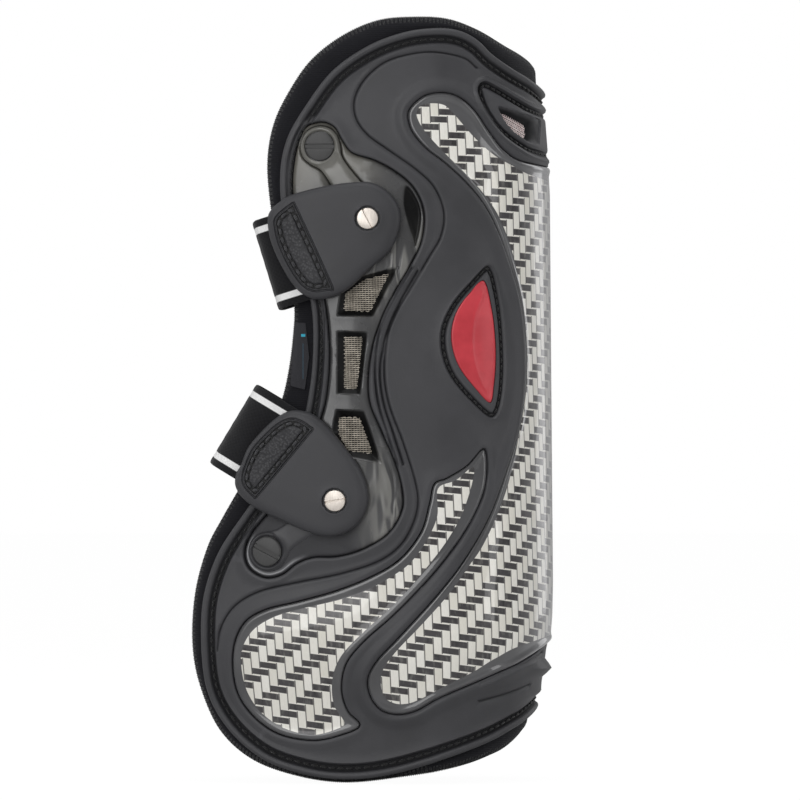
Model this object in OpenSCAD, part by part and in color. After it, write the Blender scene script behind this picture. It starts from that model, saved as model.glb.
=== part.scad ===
// Tendon boot for a horse's front leg: a one-piece moulded shell on a soft
// lining, open at the front and closed by two elastic straps.
// +X points to the back of the leg (the tendon), -X to the open front,
// -Y is the outer (lateral) side, +Y the inner (medial) side, +Z is up.
// The origin is on the axis of the cylindrical seat, half way up it.

/* [Shell] */
// Outer radius of the shell round the tendon
shell_r = 38.5; // [38:0.5:39.5]
// Thickness of the moulded shell
shell_t = 2.5; // [2.3:0.1:2.8]
// Depth of the pockets that hold the inlaid panels
pocket_d = 1.25; // [1.1:0.05:1.3]
// Radius of the gentle inward curve of the side walls
side_r = 208.5; // [200:0.5:240]

/* [Lining] */
// Radius of the cylindrical seat against the leg
seat_r = 31; // [30.6:0.1:31.2]
// Height of the cylindrical seat
seat_h = 100; // [80:5:110]
// Thickness of the hidden impact pad
pad_t = 2; // [1:0.1:2.5]

/* [Straps] */
// Width of the elastic
strap_w = 30; // [26:1:31]
// Thickness of the elastic
strap_t = 1.8; // [1.2:0.1:1.8]
// Thickness of the moulded tabs
tab_t = 3.6; // [3.2:0.1:4]
// Radius of the stud screw heads
screw_r = 3.5; // [3:0.1:3.6]

/* [Hidden] */

gap = 0.05;              // bond line between layers
wall_d = side_r - shell_r;  // offset of the side walls' axis from the boot's axis
arm_top = 1.2;           // top of a socket arm above the shell
tab_low = 1.6;           // underside of a tab above the shell
tab_top = tab_low + tab_t;
dome_r = 6;              // stud dome, base radius
dome_h = 0.95;           // stud dome, height
dome_z = 1.45;           // stud dome, base above the shell
dome_s = (dome_r*dome_r + dome_h*dome_h)/(2*dome_h);
seam_g = 0.3;            // strap clearance above the shell

// Vertical profile of the shell: radius change and height
prof = [[-7, -130], [-4.7, -103], [0, -80], [0, 78], [-1.9, 102], [-3, 130]];

// Side outlines, [x, z], rear ends carried past the back of the boot
lining_pts = [[60,110.5],[38,110.5],[29,115],[17,121],[6,124.4],[-5.5,125.1],
  [-18,124],[-30,119],[-40.5,111],[-48,100.5],[-53,90],[-55,78],[-54,64],
  [-51.5,52],[-48,41],[-46,30.5],[-46.5,20],[-48,9],[-50.5,-1],[-55.5,-13],
  [-63,-26.5],[-70,-38.5],[-75,-48],[-79,-62],[-80.2,-77.5],[-78,-92.5],
  [-71.5,-107.5],[-60.5,-117.5],[-45,-123],[-28.5,-125],[-9,-123],
  [11,-119.5],[26,-115],[38,-108.5],[60,-108.5]];
shell_pts = [[60,101.5],[38,101.5],[29,106.5],[21,112],[15,117.5],[9,120.5],
  [1.5,121.3],[-9,120],[-21,115.5],[-32.5,107.5],[-41,96.5],[-47.5,85],
  [-49.7,72],[-48,56.5],[-43,42],[-39.5,31],[-38.8,18],[-40,3.5],[-43.5,-10],
  [-53,-25.5],[-61.5,-37],[-70,-50],[-74.7,-64],[-75.6,-78],[-73.7,-95],
  [-67,-107.5],[-55.5,-117.5],[-41.5,-122.5],[-28,-124],[-13.5,-122.4],
  [5,-117],[18.5,-112],[28,-107],[38,-101.5],[60,-101.5]];
guard_pts = [[60,76.2],[44,76.2],[36,76.6],[30.5,78],[24,81.5],[19,87.5],[14.5,94],
  [9.5,98.5],[4,100.2],[-2,99.4],[-6.5,96],[-7.9,92.5],[-6.5,87.5],[-2,82],
  [4.5,77],[11.5,70.5],[17.5,63],[22,54],[26,42.5],[29,31],[30.4,18],
  [30.4,5],[28.5,-9],[24,-24],[18.5,-38.5],[10,-53],[0.6,-64.8],[-11,-77.5],
  [-18,-85],[-21,-91],[-20,-97],[-16.5,-101.3],[-11,-102.7],[-5,-101.4],
  [2,-97.5],[15,-92],[27,-87],[35,-82],[44,-78.4],[60,-78.4]];
leaf_pts = [[17.3,-16],[11.5,-21.5],[5,-25.5],[0.8,-27.4],[-0.8,-34],[-3.5,-43],
  [-10,-51.5],[-18.5,-57],[-30.5,-62],[-43.5,-65.7],[-54.5,-68.5],
  [-61.5,-73],[-65,-82],[-64.2,-94],[-59.3,-102.5],[-50.5,-109],[-39,-111.2],
  [-29.5,-109.3],[-23.5,-106.2],[-27.5,-101.5],[-29.5,-94.5],[-28,-86],
  [-22,-78.5],[-13,-70.5],[-3.5,-61],[5.5,-50.5],[13.5,-38.5],[17.8,-27]];
panel_pts = [[-36.5,90.6],[-32,89],[-29.3,84.5],[-26,80.5],[-18.5,77.4],
  [-11,73.8],[-5.5,68.5],[-2.6,61],[-3.4,52],[-7,44],[-11.7,36],[-16,27.5],
  [-19.2,18],[-20.7,8],[-20.2,-1],[-16.5,-10],[-12,-20.5],[-9.6,-30],
  [-10,-36.5],[-14.5,-43.7],[-22.8,-48.7],[-31,-51],[-38.5,-51.3],[-44,-53.3],
  [-49,-57],[-54.5,-58],[-59.7,-55],[-61.3,-49.5],[-58.7,-43],[-51,-33.5],
  [-42,-18],[-36,-5],[-33.7,8],[-33.7,21],[-36,36],[-42.5,51],[-45.5,66.5],
  [-45.1,77],[-42,88]];
windows = [[[-10.4,43.5],[-19.2,27.6],[-31,27.8],[-29.6,36],[-21.5,40.4]],
  [[-31,22.4],[-21.2,22],[-23.2,1.8],[-31,2.1]],
  [[-31,-3.2],[-22.2,-3.6],[-17,-20],[-26.5,-18.2],[-32.5,-10.4]]];
vent_pts = [[22,95.8],[27,93.8],[31.5,91],[33.8,90.6],[33.8,83.8],[31,85.2],
  [26.5,88],[23.8,92]];
badge_pts = [[17,39],[12,34.6],[8.2,29.3],[6.4,23.5],[6.5,17.5],[8.8,10.8],
  [13.4,4.6],[19,-1],[20.4,5],[21,13.4],[20.7,21.5],[19.6,30]];
pad_pts = [[60,74],[14,74],[7,60],[5,20],[5,-20],[7,-60],[14,-76],[60,-76]];
upper_tab_pts = [[-52.4,60.9],[-48.2,65.2],[-43,67.6],[-33.3,69.9],[-24,71],
  [-18.3,70.4],[-13.7,67.4],[-10.8,63.4],[-9.9,59.3],[-10.8,54],[-13.7,48.4],
  [-20.7,42],[-25.8,37],[-30.6,34],[-35.7,32.8],[-39.5,33.4],[-43.7,36.4],
  [-47.7,42.4],[-51.2,50],[-52.6,55.5]];
lower_tab_pts = [[-61.5,-21.2],[-59,-15.3],[-54.2,-9.6],[-49.6,-5.5],
  [-44.9,-3.4],[-39,-4.3],[-33.8,-8.4],[-28,-15.3],[-22.8,-23],[-20.5,-30],
  [-21,-35.7],[-24.4,-41],[-29.7,-44],[-35.5,-44.2],[-42,-42.2],
  [-49.6,-38.7],[-56,-35.7],[-60.6,-32.3],[-63.2,-28.2],[-63,-24]];
upper_patch_pts = [[-44.6,63.6],[-31.8,36.5],[-38,35],[-41.5,37],[-45,42],
  [-49,50.5],[-50.4,56.5],[-49.5,60.5]];
lower_patch_pts = [[-37.6,-8.6],[-56.3,-31.5],[-60.3,-28],[-61,-25],
  [-59.5,-20.5],[-57,-15.5],[-53,-11],[-49.5,-7.5],[-45,-5.5],[-40.5,-6]];

// Stud and pin centres, [x, z]
upper_stud_c = [-20.5, 59.1];
lower_stud_c = [-30.9, -32.8];
upper_pin_c = [-36.5, 82.7];
lower_pin_c = [-53.6, -49.4];

// Straps: [tilt, height of the centre line at x = 0, u of the front face,
// corner length, u of the tab seam, x of the medial fold, u of the anchor end,
// medial corner length]
upper_strap = [17, 60.6, -56.4, 6, -53.2, -46, -24, 3.3];
lower_strap = [-31, -46.9, -75.5, 9.5, -68, -52, -41, 5.4];

// ---- helper functions -------------------------------------------------
function cr(a, b, c, d, t) = 0.5*(2*b + (c - a)*t + (2*a - 5*b + 4*c - d)*t*t
  + (3*b - a - 3*c + d)*t*t*t);
function closed(p, n = 2) = let (m = len(p)) [for (i = [0:m-1], k = [0:n-1])
  cr(p[(i-1+m)%m], p[i], p[(i+1)%m], p[(i+2)%m], k/n)];
function open_(p, n = 2) = let (m = len(p)) concat([for (i = [0:m-2], k = [0:n-1])
  cr(p[max(i-1,0)], p[i], p[i+1], p[min(i+2,m-1)], k/n)], [p[m-1]]);
function area2(p, i = 0, s = 0) = i == len(p) ? s
  : let (q = p[(i+1) % len(p)]) area2(p, i+1, s + p[i][0]*q[1] - q[0]*p[i][1]);
function inset(p, d) = let (m = len(p), s = area2(p) > 0 ? 1 : -1)
  [for (i = [0:m-1]) let (t = p[(i+1)%m] - p[(i-1+m)%m], l = norm(t))
    p[i] + d*s*[-t[1], t[0]]/l];
function capsule(a, b, ra, rb, n = 10) = let (h = atan2(b[1]-a[1], b[0]-a[0]),
  l = norm(b - a), f = acos((ra - rb)/l))
  concat([for (i = [0:n]) let (g = h + f + (360 - 2*f)*i/n) a + ra*[cos(g), sin(g)]],
         [for (i = [0:n]) let (g = h - f + 2*f*i/n) b + rb*[cos(g), sin(g)]]);
// vertical profiles of the lining's outside and inside
lining_out = [for (v = prof) [shell_r + v[0] - shell_t - gap, v[1]]];
lining_in = [[shell_r - 14, -130], [shell_r - 11.7, -103], [shell_r - 7, -80], [shell_r - 7, 130]];
function wall(x, o = 0) = x > 0 ? sqrt(pow(shell_r + o, 2) - x*x)
  : sqrt(pow(side_r + o, 2) - x*x) - wall_d;

// ---- helper modules ---------------------------------------------------
// A C-shaped wall: a turned back half and two gently curved side walls
module c_wall(po, pi) {
  p = concat(po, [for (i = [len(pi)-1:-1:0]) pi[i]]);
  q = [for (v = p) [v[0] + wall_d, v[1]]];
  rotate([0, 0, -90]) rotate_extrude(angle = 180, $fn = 120) polygon(p);
  for (m = [0, 1]) mirror([0, m, 0]) translate([0, wall_d, 0])
    rotate([0, 0, -116]) rotate_extrude(angle = 26, $fn = 360) polygon(q);
}
module layer(a, b) {
  c_wall([for (v = prof) [shell_r + v[0] + b, v[1]]],
         [for (v = prof) [shell_r + v[0] + a, v[1]]]);
}
// Side-view outline carried through both sides, or through one side
module both(p) { rotate([90, 0, 0]) linear_extrude(200, center = true) polygon(p); }
module one(p, side = 0) { mirror([0, side, 0]) rotate([90, 0, 0]) linear_extrude(100) polygon(p); }
module patch(p, a, b, side = 0) {
  intersection() {
    mirror([0, side, 0]) translate([0, wall_d, 0]) rotate([0, 0, -116])
      rotate_extrude(angle = 26, $fn = 360)
      polygon(concat([for (v = prof) [side_r + v[0] + b, v[1]]],
        [for (i = [len(prof)-1:-1:0]) [side_r + prof[i][0] + a, prof[i][1]]]));
    one(p, side);
  }
}
module inlay(p, a, b, side = 0) { intersection() { layer(a, b); one(p, side); } }
// Puts children on the side wall, their +Z along the outward normal
module on_wall(c, side = 0) {
  mirror([0, side, 0]) translate([0, wall_d, c[1]])
    rotate([0, 0, asin(c[0]/side_r)]) translate([0, -side_r, 0])
    rotate([90, 0, 0]) children();
}
module ring(p, a, b) { difference() { both(inset(p, a)); both(inset(p, b)); } }

// Elastic: stations run from the tab seam round the front to the medial side.
// s = strap row, w = position across the strap, o = offset above the shell.
function sx(s, u, w) = u*cos(s[0]) - w*sin(s[0]);
function sz(s, u, w) = s[1] + u*sin(s[0]) + w*cos(s[0]);
function su(s, x, w) = (x + w*sin(s[0]))/cos(s[0]);
function pt(s, u, y, w) = [sx(s, u, w), y, sz(s, u, w)];
function yw(s, u, w, o) = wall(sx(s, u, w), o);
function uc(s) = s[2] + s[3];
// half-breadth of the strap at u, with the rounded corner in front of uc
function hy(s, u, w, o) = let (c = s[2] + s[7], k = s[7] - strap_t - seam_g + o, y = yw(s, max(u, c), w, o))
  u >= c ? y : y - k + sqrt(max(0, k*k - pow(u - c, 2)));
function arc_u(s, o, a) = let (k = s[3] - strap_t - seam_g + o) uc(s) - k*sin(a);
function lat(s, w, o, n) = let (c = uc(s), k = s[3] - strap_t - seam_g + o,
  a0 = s[4] >= c ? 0 : asin(min(1, (c - s[4])/k)), u0 = s[4])
  concat(u0 > c ? [for (i = [0:2]) let (u = u0 + (c - u0)*i/3) [u, -yw(s, u, w, o)]] : [],
    [for (i = [0:n]) let (a = a0 + (90 - a0)*i/n) [c - k*sin(a), -(yw(s, c, w, o) - k + k*cos(a))]]);
function med(s, w, o, n) = let (c = s[2] + s[7], k = s[7] - strap_t - seam_g + o,
  ua = su(s, s[5], w), a1 = ua >= c ? 0 : asin(min(1, (c - ua)/k)))
  concat([for (i = [n:-1:0]) let (a = a1 + (90 - a1)*i/n) [c - k*sin(a), yw(s, c, w, o) - k + k*cos(a)]],
    [for (i = [1:5]) let (u = max(c, c) + (max(ua, c + 0.01*i) - c)*i/5) [u, yw(s, u, w, o)]]);
function edge(s, w, o, n = 9) = [for (q = concat(lat(s, w, o, n), med(s, w, o, n))) pt(s, q[0], q[1], w)];
function fixed_edge(s, w, o, n = 6) = let (ua = su(s, s[5] + 1.3, w))
  [for (i = [0:n]) let (u = ua + (s[6] - ua)*i/n) pt(s, u, hy(s, u, w, o), w)];
module sweep(a, b, c, d) {
  n = len(a);
  pts = [for (i = [0:n-1]) each [a[i], b[i], c[i], d[i]]];
  sides = [for (i = [0:n-2], k = [0:3]) each [
    [4*i + k, 4*(i+1) + k, 4*(i+1) + (k+1)%4], [4*i + k, 4*(i+1) + (k+1)%4, 4*i + (k+1)%4]]];
  polyhedron(pts, concat(sides, [[0, 1, 2], [0, 2, 3], [4*n-4, 4*n-2, 4*n-3], [4*n-4, 4*n-1, 4*n-2]]));
}
module elastic(s) {
  h = strap_w/2;
  sweep(edge(s, -h, seam_g), edge(s, -h, seam_g + strap_t),
        edge(s, h, seam_g + strap_t), edge(s, h, seam_g));
}
module anchor(s) {
  h = strap_w/2;
  sweep(fixed_edge(s, -h, seam_g), fixed_edge(s, -h, seam_g + strap_t),
        fixed_edge(s, h, seam_g + strap_t), fixed_edge(s, h, seam_g));
}
// Point at (u, w) of a strap seen from the side
function suw(s, u, w) = [sx(s, u, w), sz(s, u, w)];
function anchor_outline(s) = [suw(s, s[6] + 2, -strap_w/2 - 1.5), suw(s, s[6] + 2, strap_w/2 + 1.5),
  suw(s, s[6] - 9, strap_w/2 + 1.5), suw(s, s[6] - 9, -strap_w/2 - 1.5)];
function rivet_at(s) = [suw(s, s[6] - 3.5, -9), suw(s, s[6] - 3.5, 9)];
all_rivets = concat(rivet_at(upper_strap), rivet_at(lower_strap));

// ---- pieces -----------------------------------------------------------
module neoprene_lining() {
  color([0.15, 0.15, 0.16]) difference() {
    intersection() {
      union() {
        c_wall(lining_out, lining_in);
        translate([0, 0, -seat_h/2]) rotate([0, 0, -88])
          rotate_extrude(angle = 176, $fn = 120)
          translate([seat_r, 0]) square([shell_r - 6.5 - seat_r, seat_h]);
      }
      both(inset(open_(lining_pts), 2.2));
    }
    intersection() {
      layer(-shell_t - gap*2 - pad_t, -shell_t + 1);
      both(pad_pts);
    }
  }
}
module lining_edge_binding() {
  color([0.12, 0.12, 0.13]) intersection() {
    c_wall(lining_out, lining_in);
    ring(open_(lining_pts), 0, 2.15);
  }
}
module tendon_impact_pad() {
  color([0.8, 0.75, 0.3]) intersection() {
    layer(-shell_t - gap - pad_t, -shell_t - gap);
    both(inset(pad_pts, 0.2));
  }
}
module outer_shell() {
  color([0.24, 0.24, 0.25]) difference() {
    intersection() { layer(-shell_t, 0); both(open_(shell_pts)); }
    intersection() { layer(-pocket_d, 2); both(open_(guard_pts)); }
    for (m = [0, 1]) {
      inlay(closed(leaf_pts), -pocket_d, 2, m);
      inlay(closed(panel_pts), -pocket_d, 2, m);
      inlay(closed(badge_pts), -pocket_d, 2, m);
      for (p = windows) one(p, m);
      one(vent_pts, m);
    }
    for (c = all_rivets) on_wall(c, 1) translate([0, 0, -4]) cylinder(r = 1.55, h = 6, $fn = 32);
  }
}
module shell_edge_stitching() {
  color([0.3, 0.3, 0.32]) intersection() {
    layer(0.02, 0.22);
    difference() {
      ring(open_(shell_pts), 4.6, 5.2);
      for (c = [upper_pin_c, lower_pin_c]) on_wall(c) translate([0, 0, -5]) cylinder(r = 7.4, h = 12, $fn = 48);
    }
  }
}
module rear_strike_guard() {
  color([0.45, 0.45, 0.45]) intersection() {
    layer(-pocket_d + gap, -0.1);
    both(inset(open_(guard_pts), 0.1));
  }
}
module leaf_guard(m) {
  color([0.45, 0.45, 0.45]) inlay(inset(closed(leaf_pts), 0.1), -pocket_d + gap, -0.1, m);
}
module lateral_leaf_guard() { leaf_guard(0); }
module medial_leaf_guard() { leaf_guard(1); }
module closure_panel(m) {
  color([0.3, 0.3, 0.31]) difference() {
    patch(inset(closed(panel_pts), 0.1), -pocket_d + gap, -0.3, m);
    for (p = windows) one(p, m);
    if (m == 1) for (c = all_rivets) on_wall(c, 1) translate([0, 0, -4]) cylinder(r = 1.55, h = 6, $fn = 32);
    if (m == 0) for (c = [upper_pin_c, lower_pin_c]) on_wall(c) translate([0, 0, -2]) cylinder(r = 2.05, h = 4, $fn = 32);
  }
}
module lateral_closure_panel() { closure_panel(0); }
module medial_closure_panel() { closure_panel(1); }
module window_mesh(m) {
  color([0.6, 0.59, 0.56]) for (p = windows) patch(inset(p, 0.1), -shell_t + 0.05, -shell_t + 0.55, m);
}
module lateral_window_mesh() { window_mesh(0); }
module medial_window_mesh() { window_mesh(1); }
module rear_vent_mesh() {
  color([0.6, 0.59, 0.56]) for (m = [0, 1]) inlay(inset(vent_pts, 0.1), -shell_t + 0.05, -shell_t + 0.55, m);
}
module badges() {
  color([0.78, 0.29, 0.34]) for (m = [0, 1]) inlay(inset(closed(badge_pts), 0.1), -pocket_d + gap, 0.3, m);
}
module size_label() {
  color([0.1, 0.1, 0.11]) patch([[-45.6, 25.2], [-41.2, 25.2], [-41.2, 4], [-45.6, 4]],
    -shell_t, -shell_t + 0.6, 0);
}
module socket_arm(c, e) {
  color([0.13, 0.13, 0.14]) difference() {
    union() {
      patch(capsule(c, e, 4.6, 7.6), -0.25, arm_top);
      patch(capsule(c, c + [0.5, 0.5], 6.6, 6.5), -0.25, arm_top + 0.3);
    }
    on_wall(c) translate([0, 0, -2]) cylinder(r = 2.05, h = 6, $fn = 32);
    on_wall(c) translate([0, 0, 0.8]) cylinder(r = 4.95, h = 4, $fn = 48);
    on_wall(e) translate([0, 0, dome_z - dome_h + dome_s]) sphere(r = dome_s + 0.12, $fn = 120);
  }
}
module upper_socket_arm() { socket_arm(upper_pin_c, upper_stud_c); }
module lower_socket_arm() { socket_arm(lower_pin_c, lower_stud_c); }
module slotted_pin(c, a) {
  on_wall(c) difference() {
    union() {
      translate([0, 0, 0.9]) cylinder(r = 4.8, h = 1.3, $fn = 48);
      translate([0, 0, -1.15]) cylinder(r = 2, h = 2.2, $fn = 32);
    }
    rotate([0, 0, a]) translate([-5, -0.6, 1.6]) cube([10, 1.2, 2]);
  }
}
module socket_arm_pins() {
  color([0.2, 0.2, 0.21]) { slotted_pin(upper_pin_c, 0); slotted_pin(lower_pin_c, -27); }
}
module strap_anchor(s) {
  color([0.1, 0.1, 0.11]) difference() {
    mirror([0, 0, 0]) anchor(s);
    for (c = rivet_at(s)) on_wall(c, 1) translate([0, 0, -2]) cylinder(r = 1.55, h = 8, $fn = 32);
  }
}
module upper_strap_anchor() { strap_anchor(upper_strap); }
module lower_strap_anchor() { strap_anchor(lower_strap); }
module anchor_patches() {
  color([0.26, 0.26, 0.27]) difference() {
    for (s = [upper_strap, lower_strap])
      patch(anchor_outline(s), seam_g + strap_t + 0.1, seam_g + strap_t + 1.3, 1);
    for (c = all_rivets) on_wall(c, 1) translate([0, 0, -2]) cylinder(r = 1.55, h = 8, $fn = 32);
  }
}
module anchor_rivets() {
  z = seam_g + strap_t + 1.35;
  color([0.8, 0.76, 0.72]) for (c = all_rivets) on_wall(c, 1) {
    translate([0, 0, z]) cylinder(r = 3, h = 0.7, $fn = 48);
    translate([0, 0, -2.3]) cylinder(r = 1.5, h = z + 2.4, $fn = 32);
  }
}
module upper_elastic_strap() { color([0.1, 0.1, 0.11]) elastic(upper_strap); }
module lower_elastic_strap() { color([0.1, 0.1, 0.11]) elastic(lower_strap); }
module tab(p, c) {
  color([0.28, 0.28, 0.29]) difference() {
    patch(closed(p), tab_low, tab_top);
    on_wall(c) translate([0, 0, 0]) cylinder(r = 2.55, h = 9, $fn = 48);
    on_wall(c) translate([0, 0, tab_top - 0.9]) cylinder(r = screw_r + 0.5, h = 3, $fn = 48);
  }
}
module upper_tab() { tab(upper_tab_pts, upper_stud_c); }
module lower_tab() { tab(lower_tab_pts, lower_stud_c); }
module tab_patch(p) { color([0.24, 0.24, 0.25]) patch(p, tab_top + 0.05, tab_top + 0.5); }
module upper_tab_patch() { tab_patch(upper_patch_pts); }
module lower_tab_patch() { tab_patch(lower_patch_pts); }
module tab_stitching(p) {
  color([0.35, 0.35, 0.36]) difference() {
    patch(inset(p, 1), tab_top + 0.52, tab_top + 0.8);
    one(inset(p, 1.6));
  }
}
module upper_tab_stitching() { tab_stitching(upper_patch_pts); }
module lower_tab_stitching() { tab_stitching(lower_patch_pts); }
module stud(c) {
  color([0.5, 0.5, 0.5]) on_wall(c) difference() {
    union() {
      intersection() {
        translate([0, 0, dome_z - dome_h + dome_s]) sphere(r = dome_s, $fn = 120);
        cylinder(r = dome_r, h = dome_z, $fn = 48);
      }
      translate([0, 0, dome_z - 0.2]) cylinder(r = 2.5, h = tab_top - 0.95 - dome_z + 0.2, $fn = 48);
    }
    translate([0, 0, 2.2]) cylinder(r = 1.55, h = 9, $fn = 32);
  }
}
module upper_stud() { stud(upper_stud_c); }
module lower_stud() { stud(lower_stud_c); }
module stud_screw(c, a) {
  color([0.85, 0.8, 0.76]) on_wall(c) difference() {
    union() {
      translate([0, 0, tab_top - 0.85]) cylinder(r = screw_r, h = 0.85, $fn = 48);
      translate([0, 0, 2.4]) cylinder(r = 1.5, h = tab_top - 3.2, $fn = 32);
    }
    rotate([0, 0, a]) translate([-5, -0.45, tab_top - 0.45]) cube([10, 0.9, 2]);
  }
}
module upper_stud_screw() { stud_screw(upper_stud_c, -62); }
module lower_stud_screw() { stud_screw(lower_stud_c, 10); }

neoprene_lining();
lining_edge_binding();
tendon_impact_pad();
outer_shell();
shell_edge_stitching();
rear_strike_guard();
lateral_leaf_guard();
medial_leaf_guard();
lateral_closure_panel();
medial_closure_panel();
lateral_window_mesh();
medial_window_mesh();
rear_vent_mesh();
badges();
size_label();
upper_socket_arm();
lower_socket_arm();
socket_arm_pins();
upper_strap_anchor();
lower_strap_anchor();
anchor_patches();
anchor_rivets();
upper_elastic_strap();
lower_elastic_strap();
upper_tab();
lower_tab();
upper_tab_patch();
lower_tab_patch();
upper_tab_stitching();
lower_tab_stitching();
upper_stud();
lower_stud();
upper_stud_screw();
lower_stud_screw();
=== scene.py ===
import bpy
import math
import numpy as np
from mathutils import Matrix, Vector, geometry


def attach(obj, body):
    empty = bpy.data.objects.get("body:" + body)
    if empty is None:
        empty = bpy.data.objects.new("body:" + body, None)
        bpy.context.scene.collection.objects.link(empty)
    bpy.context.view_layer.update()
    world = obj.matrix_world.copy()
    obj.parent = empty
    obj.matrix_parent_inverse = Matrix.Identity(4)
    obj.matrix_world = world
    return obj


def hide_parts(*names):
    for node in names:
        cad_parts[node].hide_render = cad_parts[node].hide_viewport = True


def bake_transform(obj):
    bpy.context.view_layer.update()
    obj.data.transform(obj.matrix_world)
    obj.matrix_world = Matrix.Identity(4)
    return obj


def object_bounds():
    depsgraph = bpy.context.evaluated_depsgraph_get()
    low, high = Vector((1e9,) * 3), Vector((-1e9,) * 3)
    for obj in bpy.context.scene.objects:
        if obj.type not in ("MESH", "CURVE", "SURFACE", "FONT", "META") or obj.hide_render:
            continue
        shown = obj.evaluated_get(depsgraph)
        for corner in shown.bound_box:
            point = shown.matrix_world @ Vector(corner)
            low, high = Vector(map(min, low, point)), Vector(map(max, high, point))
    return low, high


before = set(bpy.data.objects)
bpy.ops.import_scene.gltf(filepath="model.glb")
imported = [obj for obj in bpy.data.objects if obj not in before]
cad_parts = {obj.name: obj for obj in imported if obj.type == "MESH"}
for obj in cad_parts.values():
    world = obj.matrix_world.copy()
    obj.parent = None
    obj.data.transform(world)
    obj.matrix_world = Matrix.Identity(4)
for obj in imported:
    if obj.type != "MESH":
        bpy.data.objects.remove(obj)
CAD_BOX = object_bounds()

# ======================================================================
# The boot's wall, developed flat. s runs along the section from the front
# edge (negative) through the side (0) to the back centre line (SC), z is up,
# o is the height above the shell's outer face. Everything here is in mm.
# ======================================================================
R, SR = 38.5, 208.5
WD = SR - R
SC = R * math.pi / 2
_zt = np.arange(-150, 151, 1.0)
_rt = np.interp(_zt, [-130, -103, -80, 78, 102, 130], [-7, -4.7, 0, 0, -1.9, -3])
_k = np.exp(-0.5 * (np.arange(-12, 13) / 4.0) ** 2)
_rt = np.convolve(np.pad(_rt, 12, mode="edge"), _k / _k.sum(), mode="valid")


def rho(z):
    return np.interp(z, _zt, _rt)


def surf(s, z, o):
    s, z, o = np.broadcast_arrays(*[np.asarray(v, float) for v in (s, z, o)])
    r = rho(z) + o
    th, ph = s / R, s / SR
    x = np.where(s >= 0, (R + r) * np.sin(th), (SR + r) * np.sin(ph))
    y = np.where(s >= 0, -(R + r) * np.cos(th), -((SR + r) * np.cos(ph) - WD))
    return np.stack([x, y, z], -1)


def s_of(x, z):
    x, z = np.asarray(x, float), np.asarray(z, float)
    r = rho(z)
    a = R * np.arcsin(np.clip(x / (R + r), -1, 1))
    b = SR * np.arcsin(np.clip(x / (SR + r), -1, 1))
    return np.where(x >= 0, a, b)


def to_sz(p):
    p = np.array(p, float)
    return np.stack([s_of(p[:, 0], p[:, 1]), p[:, 1]], 1)


def resample(c, step, closed=False):
    if closed:
        c = np.vstack([c, c[:1]])
    d = np.r_[0, np.cumsum(np.linalg.norm(np.diff(c, axis=0), axis=1))]
    n = max(3, int(round(d[-1] / step)))
    t = np.linspace(0, d[-1], n + 1)
    q = np.stack([np.interp(t, d, c[:, i]) for i in range(c.shape[1])], 1)
    return q[:-1] if closed else q


def spline(P, closed=True, step=0.8, mirror_ends=False, sub=10):
    P = np.array(P, float)
    if closed:
        Q = np.vstack([P[-1:], P, P[:2]])
    elif mirror_ends:
        a, b = P[1].copy(), P[-2].copy()
        a[0], b[0] = 2 * P[0][0] - a[0], 2 * P[-1][0] - b[0]
        Q = np.vstack([a, P, b])
    else:
        Q = np.vstack([2 * P[:1] - P[1:2], P, 2 * P[-1:] - P[-2:-1]])
    t = (np.arange(sub) / sub)[:, None]
    out = []
    for i in range(len(Q) - 3):
        a, b, c, d = Q[i], Q[i + 1], Q[i + 2], Q[i + 3]
        out.append(0.5 * (2 * b + (c - a) * t + (2 * a - 5 * b + 4 * c - d) * t * t + (3 * b - a - 3 * c + d) * t ** 3))
    if not closed:
        out.append(Q[-2:-1])
    return resample(np.vstack(out), step, closed)


def offset(c, d, closed=True):
    """Move a curve to its left by d (d may be an array)."""
    if closed:
        t = np.roll(c, -1, 0) - np.roll(c, 1, 0)
    else:
        t = np.gradient(c, axis=0)
    t = t / np.maximum(np.linalg.norm(t, axis=1), 1e-9)[:, None]
    n = np.stack([-t[:, 1], t[:, 0]], 1)
    d = np.asarray(d, float)
    return c + n * (d[:, None] if d.ndim else d)


def area(c):
    x, y = c[:, 0], c[:, 1]
    return 0.5 * np.sum(x * np.roll(y, -1) - y * np.roll(x, -1))


def ccw(c):
    return c if area(c) > 0 else c[::-1].copy()


def dist(P, C, closed=True):
    """Distance from points P to polyline C."""
    A = C if closed else C[:-1]
    B = np.roll(C, -1, 0) if closed else C[1:]
    out = np.full(len(P), 1e9)
    D = B - A
    L = np.maximum((D ** 2).sum(1), 1e-12)
    for i in range(0, len(P), 4000):
        p = P[i:i + 4000, None, :]
        t = np.clip(((p - A) * D).sum(2) / L, 0, 1)
        q = A + t[:, :, None] * D
        out[i:i + 4000] = np.sqrt(((p - q) ** 2).sum(2)).min(1)
    return out


def inside(P, C):
    A, B = C, np.roll(C, -1, 0)
    out = np.zeros(len(P), bool)
    dy = np.where(np.abs(B[:, 1] - A[:, 1]) < 1e-12, 1e-12, B[:, 1] - A[:, 1])
    for i in range(0, len(P), 6000):
        x, y = P[i:i + 6000, 0][:, None], P[i:i + 6000, 1][:, None]
        c = ((A[:, 1] > y) != (B[:, 1] > y)) & (x < (B[:, 0] - A[:, 0]) * (y - A[:, 1]) / dy + A[:, 0])
        out[i:i + 6000] = c.sum(1) % 2 == 1
    return out


def sdist(P, C):
    """Signed distance, positive inside the closed curve."""
    d = dist(P, C)
    return np.where(inside(P, C), d, -d)


def sdist_open(P, C):
    """Signed distance to an open curve whose ends lie on the back centre line."""
    d = dist(P, C, False)
    return np.where(inside(P - [0.02, 0], ccw(C)), d, -d)


def smooth(x, a, b):
    t = np.clip((x - a) / (b - a), 0, 1)
    return t * t * (3 - 2 * t)


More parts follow.
